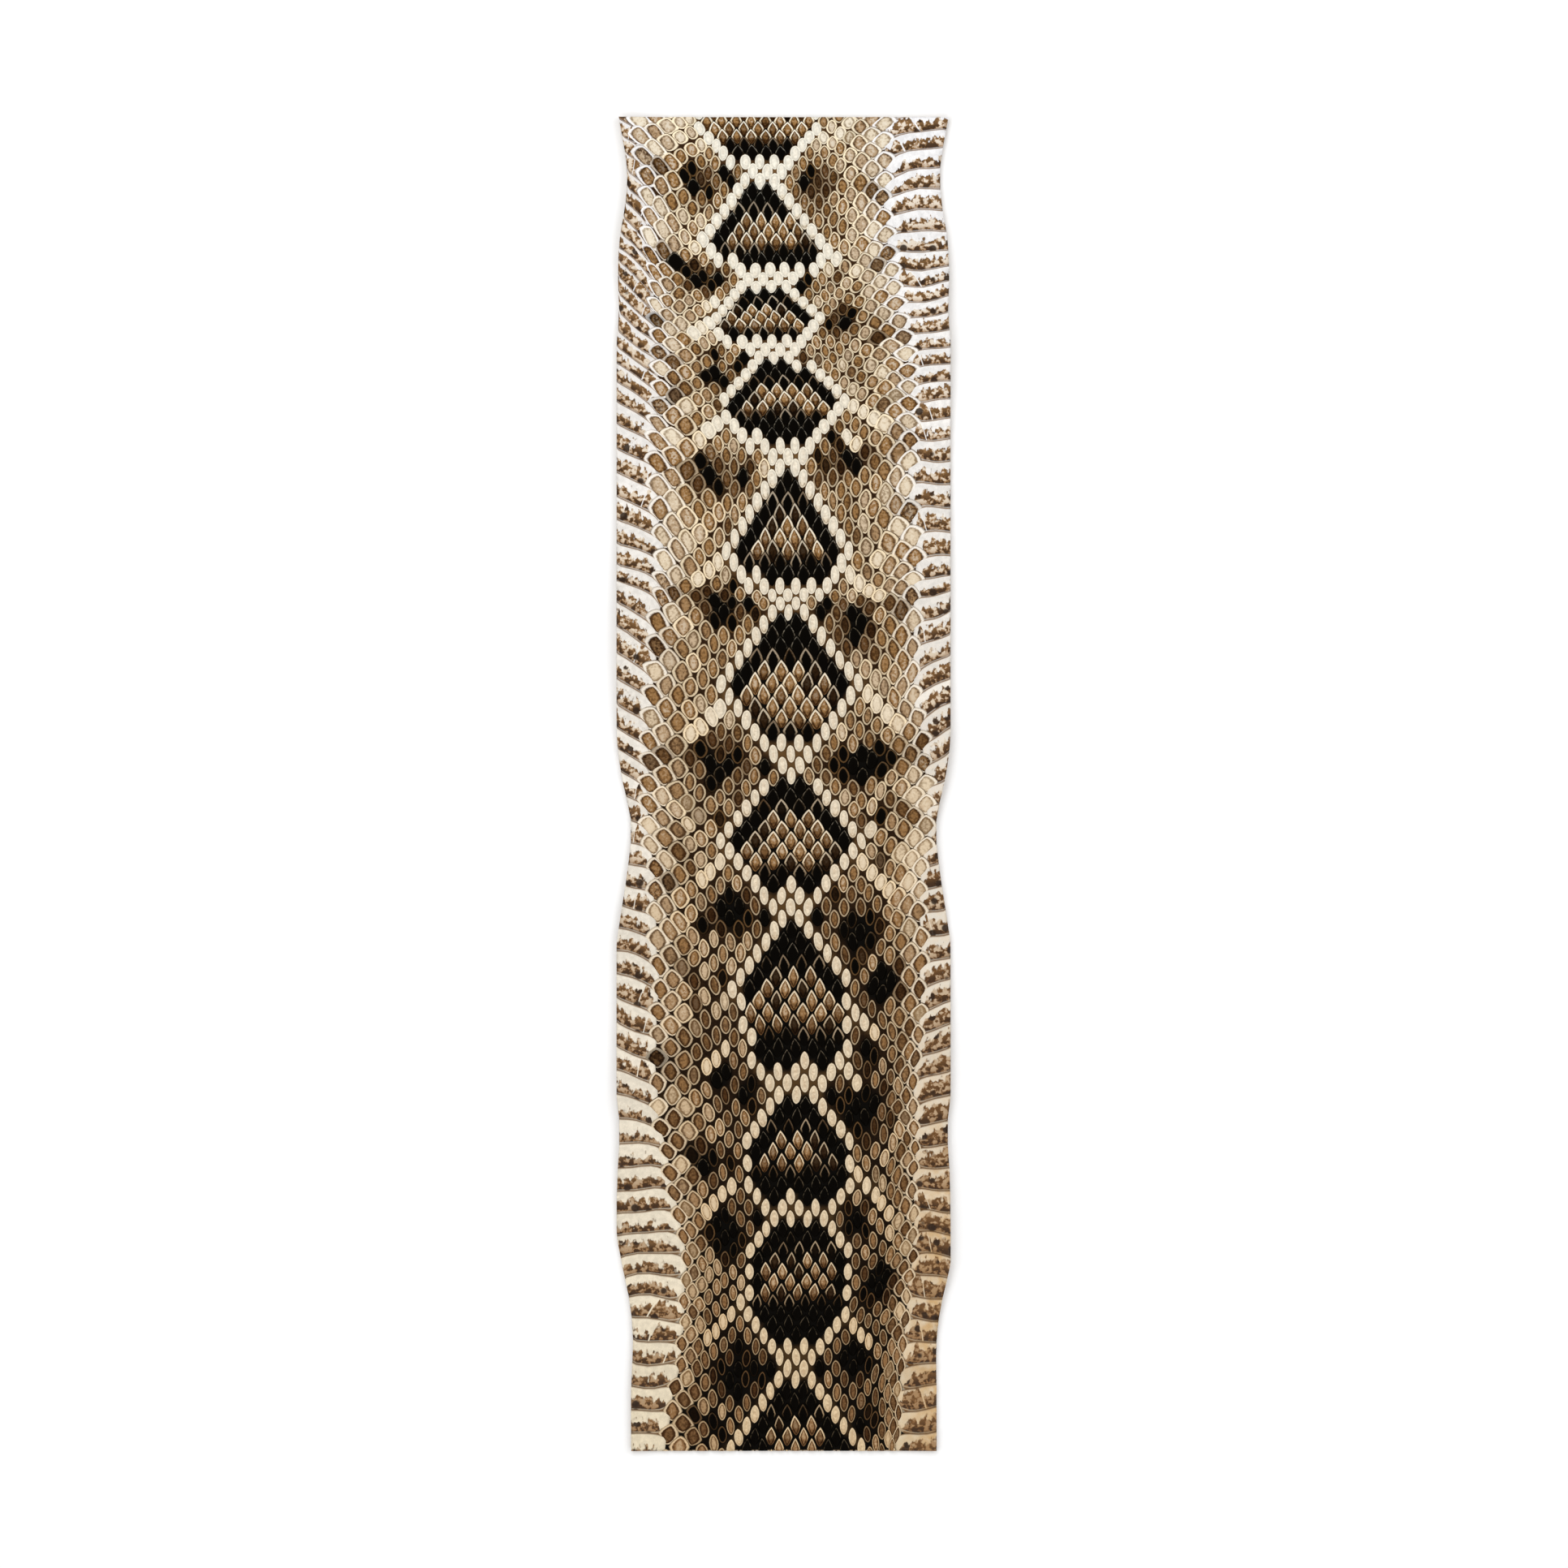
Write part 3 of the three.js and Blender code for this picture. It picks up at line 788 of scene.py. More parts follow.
# Around a scale's body: share of its width, share of its length, height, and how near to the rim it counts
SCALE_RINGS = ((0.96, 0.98, -0.6, 1.35), (1, 1, 0.1, 1), (0.82, 0.86, 0.58, 0.78), (0.07, 0.5, 1, 0.07))
# Places along one side of a scale, from its base at -1 to its free tip at 1
SCALE_STATIONS = (0.9, 0.7, 0.38, 0, -0.38, -0.7, -0.9)
# Outlines that the scales take, in the order of their names: the power along, how blunt the tip and the base
# are, and the slant up to the tip
OVAL, DROP, SHINGLE, PLATE, SPINDLE = range(5)
SCALE_OUTLINES = {
    "a_oval": (2.3, 0.52, 0.56, 0.1), "b_drop": (1.75, 0.7, 0.58, 0.25), "c_diamond": (1.3, 0.88, 0.8, 0.8),
    "d_plate": (1.4, 0.72, 0.66, 0.5), "e_spindle": (1.95, 0.66, 0.6, 0.2),
}
# How much of its cell each outline fills: sideways and lengthwise at the tail end, then at the head end
SCALE_FILLS = np.array((
    (0.75, 0.93, 0.56, 0.87), (0.79, 0.94, 0.57, 0.85), (0.88, 1.04, 0.66, 0.98), (0.97, 1.1, 0.74, 0.94),
    (0.68, 0.88, 0.56, 0.86),
))


def scale_shape(name, powers):
    """One keeled scale, one unit long and wide each way from its middle, and one unit high."""
    bend, tip, base, slant = powers
    side = [((1 - abs(t) ** bend) ** (tip if t > 0 else base), t) for t in SCALE_STATIONS]
    outline = [(0, 1), *side, (0, -1), *((-x, t) for x, t in reversed(side))]
    count = len(outline)
    points, rings, tips, faces = [], [], [], []
    for width, length, height, ring in SCALE_RINGS:
        for x, t in outline:
            up = (1 + t * length) / 2
            points.append((x * width, t * length, height * (1 - slant * (1 - up)) + 0.5 * slant * up))
            rings.append(ring)
            tips.append(t * length)
    for level in range(len(SCALE_RINGS) - 1):
        for k in range(count):
            a, b = level * count + k, level * count + (k + 1) % count
            faces.append((a, a + count, b + count, b))
    top = (len(SCALE_RINGS) - 1) * count
    faces += [face[::-1] for face in ladder(list(range(top, top + count)))]
    faces += ladder(list(range(count)))
    mesh = bpy.data.meshes.new(name)
    mesh.from_pydata(points, [], faces)
    write_attributes(mesh, {"ring": rings, "tipwards": tips})
    mesh.shade_smooth()
    return bpy.data.objects.new(name, mesh)


# Along a scute's body from its inner end to the side cut, as shares of its length
SCUTE_STATIONS = (0, 0.05, 0.12, 0.2, 0.32, 0.48, 0.64, 0.8, 0.92, 1)
# Across it from the free edge on the tail side to the base: share of its breadth, height
SCUTE_SECTION = (
    (-0.03, -0.4), (-0.03, 0.55), (0.05, 0.95), (0.16, 1), (0.4, 0.82), (0.65, 0.55), (0.88, 0.28), (1.08, 0),
    (1.08, -0.4),
)


def scute_shape():
    """One belly scute, laid out in shares of its own length and breadth."""
    points, outwards, headwards, heights, faces = [], [], [], [], []
    count = len(SCUTE_SECTION)
    for share in SCUTE_STATIONS:
        taper = min(1, 0.55 + share / 0.2 * 0.45)
        for across, height in SCUTE_SECTION:
            points.append((share, across, height))
            outwards.append(share)
            headwards.append(across)
            heights.append(height * taper)
    for k in range(len(SCUTE_STATIONS) - 1):
        for n in range(count):
            a, b = k * count + n, k * count + (n + 1) % count
            faces.append((a, b, b + count, a + count))
    last = (len(SCUTE_STATIONS) - 1) * count
    faces.append(tuple(range(count - 1, -1, -1)))
    faces.append(tuple(range(last, last + count)))
    mesh = bpy.data.meshes.new("scute_shape")
    mesh.from_pydata(points, [], faces)
    write_attributes(mesh, {"outwards": outwards, "headwards": headwards, "height": heights})
    mesh.shade_smooth()
    return bpy.data.objects.new("scute_shape", mesh)


class Tree(Nodes):
    """A geometry tree under construction, which ends in plain faces with their finish."""

    def __init__(self, name, **inputs):
        group = bpy.data.node_groups.new(name, "GeometryNodeTree")
        super().__init__(group)
        group.interface.new_socket("Geometry", in_out="INPUT", socket_type="NodeSocketGeometry")
        for label, kind in inputs.items():
            group.interface.new_socket(label.replace("_", " "), in_out="INPUT", socket_type=kind)
        group.interface.new_socket("Geometry", in_out="OUTPUT", socket_type="NodeSocketGeometry")
        self.given = self.add("NodeGroupInput").outputs

    def named(self, name, kind="FLOAT"):
        return self.add("GeometryNodeInputNamedAttribute", ("Name", name), data_type=kind).outputs[0]

    def random(self, low, high, offset):
        seed = self.plus(self.given["Seed"], offset)
        node = self.add("FunctionNodeRandomValue", (2, low), (3, high), ("Seed", seed), data_type="FLOAT")
        return node.outputs[1]

    def vector(self, x, y, z):
        return self.add("ShaderNodeCombineXYZ", (0, x), (1, y), (2, z)).outputs[0]

    def between(self, share, first, second):
        node = self.add("ShaderNodeMix", (0, share), (4, first), (5, second), data_type="VECTOR")
        return node.outputs[1]

    def end(self, geometry):
        finished = self.add("GeometryNodeSetMaterial", (0, geometry), ("Material", self.given["Finish"]))
        self.add("NodeGroupOutput", (0, finished.outputs[0]))
        return self.tree


def scale_tree():
    """A scale on every point, sized and turned by the point's own values."""
    t = Tree(
        "Keeled Scales", Shapes="NodeSocketCollection", Rise="NodeSocketFloat", Tip_Tilt="NodeSocketFloat",
        Unevenness="NodeSocketFloat", Jitter="NodeSocketFloat", Seed="NodeSocketInt",
        Finish="NodeSocketMaterial",
    )
    shapes = t.add(
        "GeometryNodeCollectionInfo", ("Collection", t.given["Shapes"]), ("Separate Children", True),
        ("Reset Children", True),
    )
    uneven = t.given["Unevenness"]
    tilt = t.plus(t.given["Tip Tilt"], t.times(uneven, t.random(-0.3, 0.3, 0)))
    roll = t.times(uneven, t.random(-0.5, 0.5, 1))
    turn = t.plus(t.named("turn"), t.times(uneven, t.random(-1, 1, 2)))
    spread = t.times(t.named("spread"), t.plus(1, t.times(uneven, t.random(-1, 1, 3))))
    reach = t.times(t.named("reach"), t.plus(1, t.times(uneven, t.random(-0.7, 0.3, 4))))
    rotation = t.add("FunctionNodeEulerToRotation", (0, t.vector(tilt, roll, turn)))
    jitter = t.times(t.given["Jitter"], t.named("loose"))
    offset = t.vector(t.times(jitter, t.random(-0.7, 0.7, 5)), t.times(jitter, t.random(-1, 1, 6)), 0)
    points = t.add("GeometryNodeSetPosition", (0, t.given["Geometry"]), ("Offset", offset))
    middle = t.add("GeometryNodeInputPosition").outputs[0]
    points = t.add(
        "GeometryNodeStoreNamedAttribute", (0, points.outputs[0]), ("Name", "middle"), (3, middle),
        data_type="FLOAT_VECTOR",
    )
    scales = t.add(
        "GeometryNodeInstanceOnPoints", ("Points", points.outputs[0]), ("Instance", shapes.outputs[0]),
        ("Pick Instance", True), ("Instance Index", t.named("kind", "INT")),
        ("Rotation", rotation.outputs[0]), ("Scale", t.vector(spread, reach, t.given["Rise"])),
    )
    scales = t.add("GeometryNodeRealizeInstances", (0, scales.outputs[0]))
    kept = t.named("middle", "FLOAT_VECTOR")
    away = t.add("ShaderNodeVectorMath", (0, middle), (1, kept), operation="SUBTRACT")
    sideways = t.add("ShaderNodeSeparateXYZ", (0, away.outputs[0])).outputs[0]
    slanted = t.vector(0, t.times(sideways, t.named("slant")), 0)
    return t.end(t.add("GeometryNodeSetPosition", (0, scales.outputs[0]), ("Offset", slanted)).outputs[0])


def scute_tree():
    """A scute on every point, stretched between the point's four corners and rounded at its inner end."""
    t = Tree(
        "Belly Scutes", Shape="NodeSocketObject", Rise="NodeSocketFloat", Rounding="NodeSocketFloat",
        Finish="NodeSocketMaterial",
    )
    shape = t.add("GeometryNodeObjectInfo", ("Object", t.given["Shape"]), ("As Instance", True))
    scutes = t.add(
        "GeometryNodeInstanceOnPoints", ("Points", t.given["Geometry"]),
        ("Instance", shape.outputs["Geometry"]),
    )
    scutes = t.add("GeometryNodeRealizeInstances", (0, scutes.outputs[0]))
    outwards, headwards = t.named("outwards"), t.named("headwards")
    inner = t.ramp(outwards, 0, t.given["Rounding"], 0.8, 0, smooth=False)
    breadth = t.math("SQRT", t.less(t.times(inner, inner)))
    middle = t.minus(headwards, 0.5)
    across = t.plus(0.5, t.times(middle, breadth))
    tail, head = (
        t.between(outwards, *(t.named(f"{end}_{part}", "FLOAT_VECTOR") for part in ("inner", "outer")))
        for end in ("tail", "head")
    )
    where = t.add("ShaderNodeMix", (0, across), (4, tail), (5, head), data_type="VECTOR", clamp_factor=False)
    up = t.vector(0, 0, t.times(t.named("height"), t.given["Rise"]))
    moved = t.add(
        "GeometryNodeSetPosition", (0, scutes.outputs[0]), ("Position", where.outputs[1]), ("Offset", up),
    )
    return t.end(moved.outputs[0])


def grow(name, points, values, tree, inputs):
    """The plain mesh that a tree makes on these points, as an object of that name."""
    seeds = bpy.data.meshes.new(name)
    seeds.from_pydata(points, [], [])
    write_attributes(seeds, values)
    piece = new_object(name, seeds)
    modifier = piece.modifiers.new(tree.name, "NODES")
    modifier.node_group = tree
    for socket in tree.interface.items_tree:
        if socket.item_type == "SOCKET" and socket.in_out == "INPUT" and socket.name in inputs:
            modifier[socket.identifier] = inputs[socket.name]
    graph = bpy.context.evaluated_depsgraph_get()
    mesh = bpy.data.meshes.new_from_object(
        piece.evaluated_get(graph), preserve_all_data_layers=True, depsgraph=graph,
    )
    piece.modifiers.clear()
    piece.data = mesh
    mesh.name = name
    bpy.data.meshes.remove(seeds)
    if len(mesh.polygons) == 0:
        raise RuntimeError(f"the tree {tree.name} made nothing for {name}")
    return piece


def trim(piece, edge_lift):
    """Cuts a piece to the strip's outline and lays it on the wavy leather."""
    points = read_points(piece.data)
    sideways, lengthwise = sway(points[:, 0], points[:, 1])
    points[:, 0] += sideways
    points[:, 1] += lengthwise
    write_points(piece.data, points)
    body = bmesh.new()
    body.from_mesh(piece.data)
    for end in (-1, 1):
        cut = bmesh.ops.bisect_plane(
            body, geom=[*body.verts, *body.edges, *body.faces], plane_co=(0, end * LENGTH * MM / 2, 0),
            plane_no=(0, end, 0), clear_outer=True,
        )
        edges = [item for item in cut["geom_cut"] if isinstance(item, bmesh.types.BMEdge)]
        bmesh.ops.holes_fill(body, edges=edges, sides=0)
    body.to_mesh(piece.data)
    body.free()
    points = read_points(piece.data)
    x, y = points[:, 0], points[:, 1]
    x = np.clip(x, side_cut(-1, y), side_cut(1, y))
    points[:, 0] = x
    points[:, 2] += lift(x, y, edge_lift)
    write_points(piece.data, points)


def keep_attributes(mesh, names):
    """Drops the values that only the tree needed."""
    for name in [item.name for item in mesh.attributes if not item.is_required and not item.is_internal]:
        if name not in names and name not in ("sharp_face", "sharp_edge", "material_index"):
            mesh.attributes.remove(mesh.attributes[name])


def lattice_at(x, y):
    """The column and half-row of places on the strip: place() turned round."""
    half_rows = np.linspace(FIRST_HALF_ROW - 6, LAST_HALF_ROW + 6, 600)
    distances = along(ROW_PLACES, 1, half_rows)
    last = COLUMNS + 0.5
    row_y = y
    for _ in range(4):
        sideways = x - along(WIDTH_PLACES, 1, row_y)
        pitch = along(WIDTH_PLACES, 2, row_y)
        half_width = by_side(WIDTH_PLACES, 3, sideways, row_y)
        widening = (half_width - pitch * last) / (last - BACK_COLUMNS) ** 2
        beyond = np.maximum(0, np.abs(sideways) - pitch * BACK_COLUMNS)
        root = np.sqrt(pitch**2 + 4 * widening * beyond)
        outer = 2 * beyond / (pitch + root)
        row_y = y - FLANK_SKEW * outer
    column = np.where(beyond > 0, BACK_COLUMNS + outer, np.abs(sideways) / pitch) * np.sign(sideways)
    return column, np.interp(-row_y, -distances, half_rows)


def smooth(value, low, high):
    """The value's way from low to high, eased at both ends, from 0 to 1."""
    share = np.clip((value - low) / (high - low), 0, 1)
    return share * share * (3 - 2 * share)


def tone_between(tones, name, column, half_row):
    """A tone at places between the scales, blended from the four nearest ones."""
    a, b = (column + half_row) / 2, (half_row - column) / 2
    low_a, low_b = np.floor(a).astype(int), np.floor(b).astype(int)
    share_a, share_b = a - low_a, b - low_b
    total = np.zeros(len(a))
    for da in (0, 1):
        for db in (0, 1):
            weight = (share_a if da else 1 - share_a) * (share_b if db else 1 - share_b)
            value = [
                tones.scales.get((p - q, p + q), {}).get(name, 0)
                for p, q in zip((low_a + da).tolist(), (low_b + db).tolist())
            ]
            total += weight * np.array(value)
    return total


# The leather's faces across and along, and the width and drop of its rim at the cut edge in mm
SHEET_COLUMNS = 64
SHEET_ROWS = 240
EDGE_STRIP = 0.4
EDGE_DROP = 0.15


def leather_sheet(sizes, tones):
    """The leather as a closed sheet with a top, an underside and a cut edge all round."""
    thickness, edge_lift = sizes.leather / MM, sizes.edge_lift / MM
    along_y, across = (
        np.concatenate(([0], np.linspace(EDGE_STRIP / size, 1 - EDGE_STRIP / size, count - 1), [1]))
        for size, count in ((LENGTH, SHEET_ROWS), (2 * HALF_WIDTH, SHEET_COLUMNS))
    )
    along_y = along_y * LENGTH - LENGTH / 2
    left, right = side_cut(-1, along_y), side_cut(1, along_y)
    x = (left[:, None] + (right - left)[:, None] * across[None, :]).ravel()
    y = np.repeat(along_y, len(across))
    rows, columns = len(along_y), len(across)
    row, column = np.divmod(np.arange(rows * columns), columns)
    rim = (row == 0) | (row == rows - 1) | (column == 0) | (column == columns - 1)
    place_column, place_row = lattice_at(x, y)
    height = lift(x, y, edge_lift)
    top = np.column_stack((x, y, height + thickness - EDGE_DROP * rim))
    bottom = np.column_stack((x, y, height))
    count = rows * columns
    faces = []
    for r in range(rows - 1):
        for c in range(columns - 1):
            a = r * columns + c
            faces.append((a, a + 1, a + columns + 1, a + columns))
            faces.append((a + count, a + columns + count, a + columns + 1 + count, a + 1 + count))
    ring = [*range(columns), *(r * columns + columns - 1 for r in range(1, rows))]
    ring += [(rows - 1) * columns + c for c in range(columns - 2, -1, -1)]
    ring += [r * columns for r in range(rows - 2, 0, -1)]
    for k, a in enumerate(ring):
        b = ring[(k + 1) % len(ring)]
        faces.append((a, a + count, b + count, b))
    mesh = bpy.data.meshes.new("leather_sheet")
    mesh.from_pydata((np.vstack((top, bottom)) * MM).tolist(), [], faces)
    cream, dark, fill = (
        smooth(tone_between(tones, name, place_column, place_row), low, high)
        for name, low, high in (("cream", 0.5, 1), ("dark", 0.25, 0.7), ("fill", 0.1, 0.4))
    )
    on_both = {
        "cream": cream, "dark": np.maximum(dark, fill), "belly": smooth(np.abs(place_column), 13.4, 15),
        "cut": rim.astype(float), "column": place_column, "half_row": place_row,
    }
    write_attributes(mesh, {name: np.concatenate((value, value)) for name, value in on_both.items()})
    write_attributes(mesh, {"under": np.concatenate((np.zeros(count), (~rim).astype(float)))})
    mesh.shade_smooth()
    return new_object("leather_sheet", mesh)


def ride_and_replace(piece):
    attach(piece, BODY)
    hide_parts(NODE)


# How uneven the scales are, in radians and shares of their size, and how far off their places in mm
UNEVENNESS = 0.09
JITTER = 0.4
# How much of the rows' slope a scale of the flanks takes on
SLANT_SHARE = 0.85
# How much wider the outer scales get where the column pitch is narrow, and where it is fully and just so
NARROW_GAIN = 0.3
NARROW_PITCH = (3.6, 4.8)
# Half-rows over which back scales, and the cream scales of the borders, turn into the head end's slender ones
SLENDER_ROWS = (45, 105)
CREAM_SLENDER_ROWS = (18, 60)
PLATE_COLUMN = 11


def scale_values(column, half_row, tones, seed):
    """The places of these scales, and what the tree and the finish need to know of each one."""
    x, y = place(column, half_row)
    (left, _), (right, _) = place(column - 1, half_row), place(column + 1, half_row)
    (tail_x, tail_y), (head_x, head_y) = place(column, half_row - 1), place(column, half_row + 1)
    pitch, sideways = (right - left) / 2, np.abs(column)
    on_back = sideways <= BACK_COLUMNS
    cream, fill = (np.array([tone[name] for tone in tones]) for name in ("cream", "fill"))
    border = cream > 0.99
    kind = np.where(sideways > PLATE_COLUMN, PLATE, np.where(on_back & border, OVAL, DROP))
    kind = np.where(fill > 0.5, SHINGLE, kind)
    headwards = smooth(half_row, *SLENDER_ROWS)
    draw = np.random.default_rng(seed).random(len(x))
    kind = np.where((kind <= DROP) & (draw < headwards), SPINDLE, kind)

    # Widths and lengths, between what the tail end and the head end have
    fills = SCALE_FILLS[kind]
    rounder = smooth(sideways, 9, 13) * (kind == SPINDLE)
    fills[:, 2:] += rounder[:, None] * (SCALE_FILLS[PLATE] - SCALE_FILLS[SPINDLE])[2:]
    slender = np.where(border & on_back, smooth(half_row, *CREAM_SLENDER_ROWS), headwards)
    width, length = (fills[:, k] * (1 - slender) + fills[:, k + 2] * slender for k in (0, 1))
    narrow = smooth(-pitch, -NARROW_PITCH[1], -NARROW_PITCH[0]) * smooth(sideways, 11, 13) * headwards
    width = width * (1 + NARROW_GAIN * narrow)

    # The slope of the row that a scale lies in, which nears that of the scutes at the sides
    scute_slope = by_side(SCUTE_SLOPES, 1, column, y)
    row_slope = FLANK_SKEW / pitch * ~on_back
    slope = row_slope + (scute_slope - row_slope) * smooth(sideways, 11, 15) * (1 - 0.5 * headwards)
    return x, y, {
        "kind": kind.astype(np.int32),
        "spread": pitch * width * MM,
        "reach": np.hypot(tail_x - head_x, tail_y - head_y) / 2 * length * MM,
        "turn": np.arctan2(head_x - tail_x, tail_y - head_y),
        "slant": SLANT_SHARE * slope * np.sign(column),
        **{name: [tone[name] for tone in tones] for name in ("cream", "dark", "shade", "stain")},
        "shingle": (kind == SHINGLE).astype(float),
        "loose": (kind != SHINGLE) * np.where(border, 0.3, 1),
        "outer": smooth(sideways, 11.5, 14.5),
    }


class SNAKESKIN_OT_scales(bpy.types.Operator):
    """Grow the keeled scales of the back and the flanks"""
    bl_idname = "snakeskin.scales"
    bl_label = "Keeled Scales"

    def execute(self, context):
        sizes = context.scene.snake_skin_sizes
        tones = Tones()
        finish = scale_finish(context.scene.snake_skin_colours)
        shapes = bpy.data.collections.new("scale_shapes")
        for name, powers in SCALE_OUTLINES.items():
            shapes.objects.link(scale_shape(name, powers))
        tree = scale_tree()
        ranges = (("back_scales", 0, BACK_COLUMNS), ("flank_scales", BACK_COLUMNS + 1, COLUMNS))
        for name, first, last in ranges:
            chosen = {at: tone for at, tone in tones.scales.items() if first <= abs(at[0]) <= last}
            column, half_row = np.array(list(chosen), float).T
            x, y, values = scale_values(column, half_row, list(chosen.values()), SEED + first)
            points = np.column_stack((x * MM, y * MM, np.full(len(x), sizes.leather)))
            piece = grow(name, points.tolist(), values, tree, {
                "Shapes": shapes, "Rise": sizes.scale_rise, "Tip Tilt": sizes.tip_tilt,
                "Unevenness": UNEVENNESS, "Jitter": JITTER * MM, "Seed": SEED, "Finish": finish,
            })
            trim(piece, sizes.edge_lift / MM)
            keep_attributes(
                piece.data, ("ring", "tipwards", "cream", "dark", "shade", "stain", "shingle", "outer"),
            )
            ride_and_replace(piece)
        for shape in list(shapes.objects):
            bpy.data.meshes.remove(shape.data)
        bpy.data.collections.remove(shapes)
        return {"FINISHED"}


# How rounded a scute's inner end is, as a share of its length, and how far it runs past the cut in mm
SCUTE_ROUNDING = 0.28
SCUTE_SPARE = 2
# How many of the scutes have a seam, and where along the scute it lies
SEAM_CHANCE = 0.3
SEAM_RANGE = (0.1, 0.4)


class SNAKESKIN_OT_scutes(bpy.types.Operator):
    """Grow the broad belly scutes along both sides"""
    bl_idname = "snakeskin.scutes"
    bl_label = "Belly Scutes"

    def execute(self, context):
        sizes = context.scene.snake_skin_sizes
        rng = np.random.default_rng(SEED + 1)
        corners = {"tail_inner": [], "tail_outer": [], "head_inner": [], "head_outer": []}
        values = {"speckle": [], "spot": [], "shade": [], "split": []}
        for side, field, spots in ((-1, 1, LEFT_SPOTS), (1, 2, RIGHT_SPOTS)):
            for half_row in range(FIRST_HALF_ROW, LAST_HALF_ROW, 2):
                for end, row in (("tail", half_row), ("head", half_row + 2)):
                    x, y = place(side * (COLUMNS + 1), row)
                    slope = along(SCUTE_SLOPES, field, y)
                    inner = place(side * (COLUMNS + 0.1), row)[0]
                    outer = side * (HALF_WIDTH + SCUTE_SPARE)
                    for name, at in (("inner", inner), ("outer", outer)):
                        corner = (at * MM, (y + slope * side * (at - x)) * MM, sizes.leather)
                        corners[f"{end}_{name}"].append(corner)
                values["speckle"].append(rng.uniform(0.55, 1.0))
                values["shade"].append(1 + 0.03 * rng.standard_normal())
                values["split"].append(rng.uniform(*SEAM_RANGE) if rng.random() < SEAM_CHANCE else -1)
                near = min(abs(half_row + 1 - row) for row in spots)
                values["spot"].append(max(0, 1 - near / 1.6))
        shape = scute_shape()
        piece = grow("belly_scutes", corners["tail_inner"], {**corners, **values}, scute_tree(), {
            "Shape": shape, "Rise": sizes.scute_rise, "Rounding": SCUTE_ROUNDING,
            "Finish": scute_finish(context.scene.snake_skin_colours),
        })
        bpy.data.meshes.remove(shape.data)
        trim(piece, sizes.edge_lift / MM)
        keep_attributes(piece.data, ("outwards", "headwards", "speckle", "spot", "shade", "split"))
        ride_and_replace(piece)
        return {"FINISHED"}


class SNAKESKIN_OT_leather(bpy.types.Operator):
    """Make the leather that carries the scales and scutes"""
    bl_idname = "snakeskin.leather"
    bl_label = "Leather Sheet"

    def execute(self, context):
        piece = leather_sheet(context.scene.snake_skin_sizes, Tones())
        piece.data.materials.append(leather_finish(context.scene.snake_skin_colours))
        ride_and_replace(piece)
        return {"FINISHED"}


# The photograph's width in pixels, the millimetres that one of them shows, and the middle of its frame in mm
FRAME_PIXELS = 1932
PIXEL = 0.274
FRAME_MIDDLE = (0.14, 0)
LENS = 110
SENSOR = 36
# Metres: the floor's half-size and its gap under the skin, and the soft boxes' size and distance
FLOOR_REACH = 4
FLOOR_GAP = 0.0001
BOX_SIZE = 0.9
BOX_DISTANCE = 1.3
# The soft boxes: name, turn from the tail end and tilt from straight above in degrees, share of the light
SOFT_BOXES = (
    ("tail_box", 20, 42, 1.25), ("left_box", 110, 48, 0.9), ("head_box", 200, 48, 0.75),
    ("right_box", 290, 48, 0.9),
)


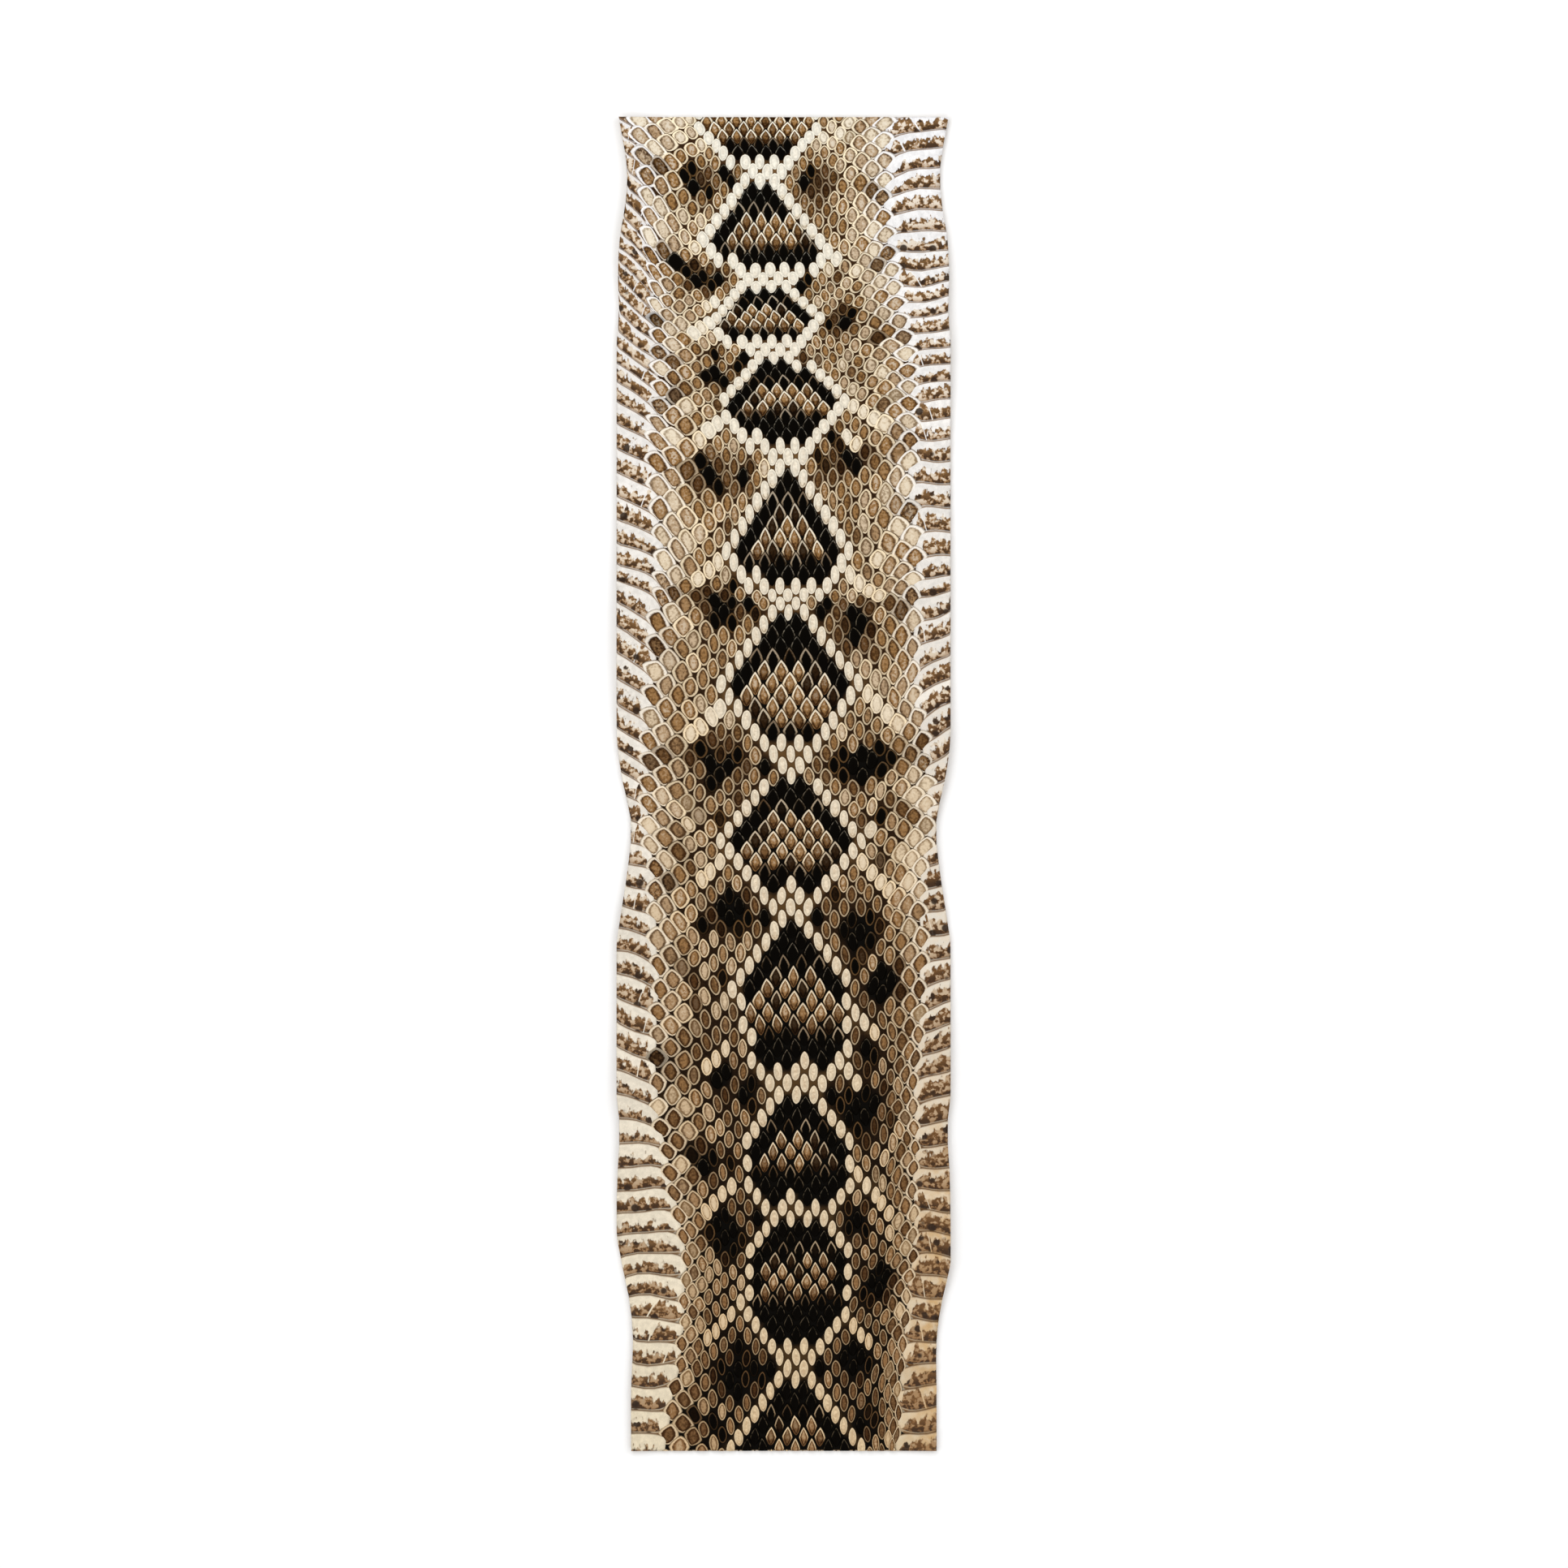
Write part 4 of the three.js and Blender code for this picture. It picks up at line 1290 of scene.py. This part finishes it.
class SNAKESKIN_OT_stage(bpy.types.Operator):
    """Add the floor, the soft boxes and the camera"""
    bl_idname = "snakeskin.stage"
    bl_label = "Floor, Light and Camera"

    def execute(self, context):
        scene, settings = context.scene, context.scene.snake_skin_stage
        mesh = bpy.data.meshes.new("floor")
        body = bmesh.new()
        bmesh.ops.create_grid(body, x_segments=1, y_segments=1, size=FLOOR_REACH)
        bmesh.ops.translate(body, verts=body.verts, vec=(0, 0, -FLOOR_GAP))
        body.to_mesh(mesh)
        body.free()
        floor = new_object("floor", mesh)
        paper = bpy.data.materials.new("floor_paper")
        paper.use_nodes = True
        shader = paper.node_tree.nodes["Principled BSDF"]
        shader.inputs["Base Color"].default_value = (*settings.floor, 1)
        shader.inputs["Roughness"].default_value = 0.9
        shader.inputs["Specular IOR Level"].default_value = 0.1
        mesh.materials.append(paper)
        for name, turn, tilt, share in SOFT_BOXES:
            turn, tilt = math.radians(turn), math.radians(tilt)
            light = bpy.data.lights.new(name, "AREA")
            light.shape = "SQUARE"
            light.size = BOX_SIZE
            light.energy = settings.light * share
            box = bpy.data.objects.new(name, light)
            scene.collection.objects.link(box)
            way = Vector((-math.sin(turn) * math.sin(tilt), math.cos(turn) * math.sin(tilt), math.cos(tilt)))
            box.location = way * BOX_DISTANCE
            box.rotation_euler = way.to_track_quat("Z", "Y").to_euler()
        world = bpy.data.worlds.new("studio")
        world.use_nodes = True
        background = world.node_tree.nodes["Background"]
        background.inputs["Color"].default_value = (1, 1, 1, 1)
        background.inputs["Strength"].default_value = settings.sky
        scene.world = world
        lens = bpy.data.cameras.new("camera")
        lens.lens = LENS
        lens.sensor_width = SENSOR
        camera = bpy.data.objects.new("camera", lens)
        height = FRAME_PIXELS * PIXEL * LENS / SENSOR
        camera.location = Vector((*FRAME_MIDDLE, height)) * MM
        scene.collection.objects.link(camera)
        scene.camera = camera
        scene.view_settings.view_transform = "Standard"
        return {"FINISHED"}


OPERATORS = (SNAKESKIN_OT_scales, SNAKESKIN_OT_scutes, SNAKESKIN_OT_leather, SNAKESKIN_OT_stage)


class SNAKESKIN_PT_panel(bpy.types.Panel):
    """Sizes, colours and the steps that build the skin"""
    bl_idname = "SNAKESKIN_PT_panel"
    bl_label = "Snake Skin"
    bl_space_type = "VIEW_3D"
    bl_region_type = "UI"
    bl_category = "Snake Skin"

    def draw(self, context):
        for title, settings in (
            ("Sizes", context.scene.snake_skin_sizes), ("Colours", context.scene.snake_skin_colours),
            ("Stage", context.scene.snake_skin_stage),
        ):
            box = self.layout.box()
            box.label(text=title)
            for name in type(settings).__annotations__:
                box.prop(settings, name)
        for operator in OPERATORS:
            self.layout.operator(operator.bl_idname)


GROUPS = {
    "snake_skin_sizes": SnakeSkinSizes,
    "snake_skin_colours": SnakeSkinColours,
    "snake_skin_stage": SnakeSkinStage,
}


def register():
    for item in (*GROUPS.values(), *OPERATORS, SNAKESKIN_PT_panel):
        bpy.utils.register_class(item)
    for name, group in GROUPS.items():
        setattr(bpy.types.Scene, name, bpy.props.PointerProperty(type=group))


def unregister():
    for name in GROUPS:
        delattr(bpy.types.Scene, name)
    for item in reversed((*GROUPS.values(), *OPERATORS, SNAKESKIN_PT_panel)):
        bpy.utils.unregister_class(item)


def main():
    register()
    bpy.ops.snakeskin.scales()
    bpy.ops.snakeskin.scutes()
    bpy.ops.snakeskin.leather()
    bpy.ops.snakeskin.stage()


if __name__ == "__main__":
    main()
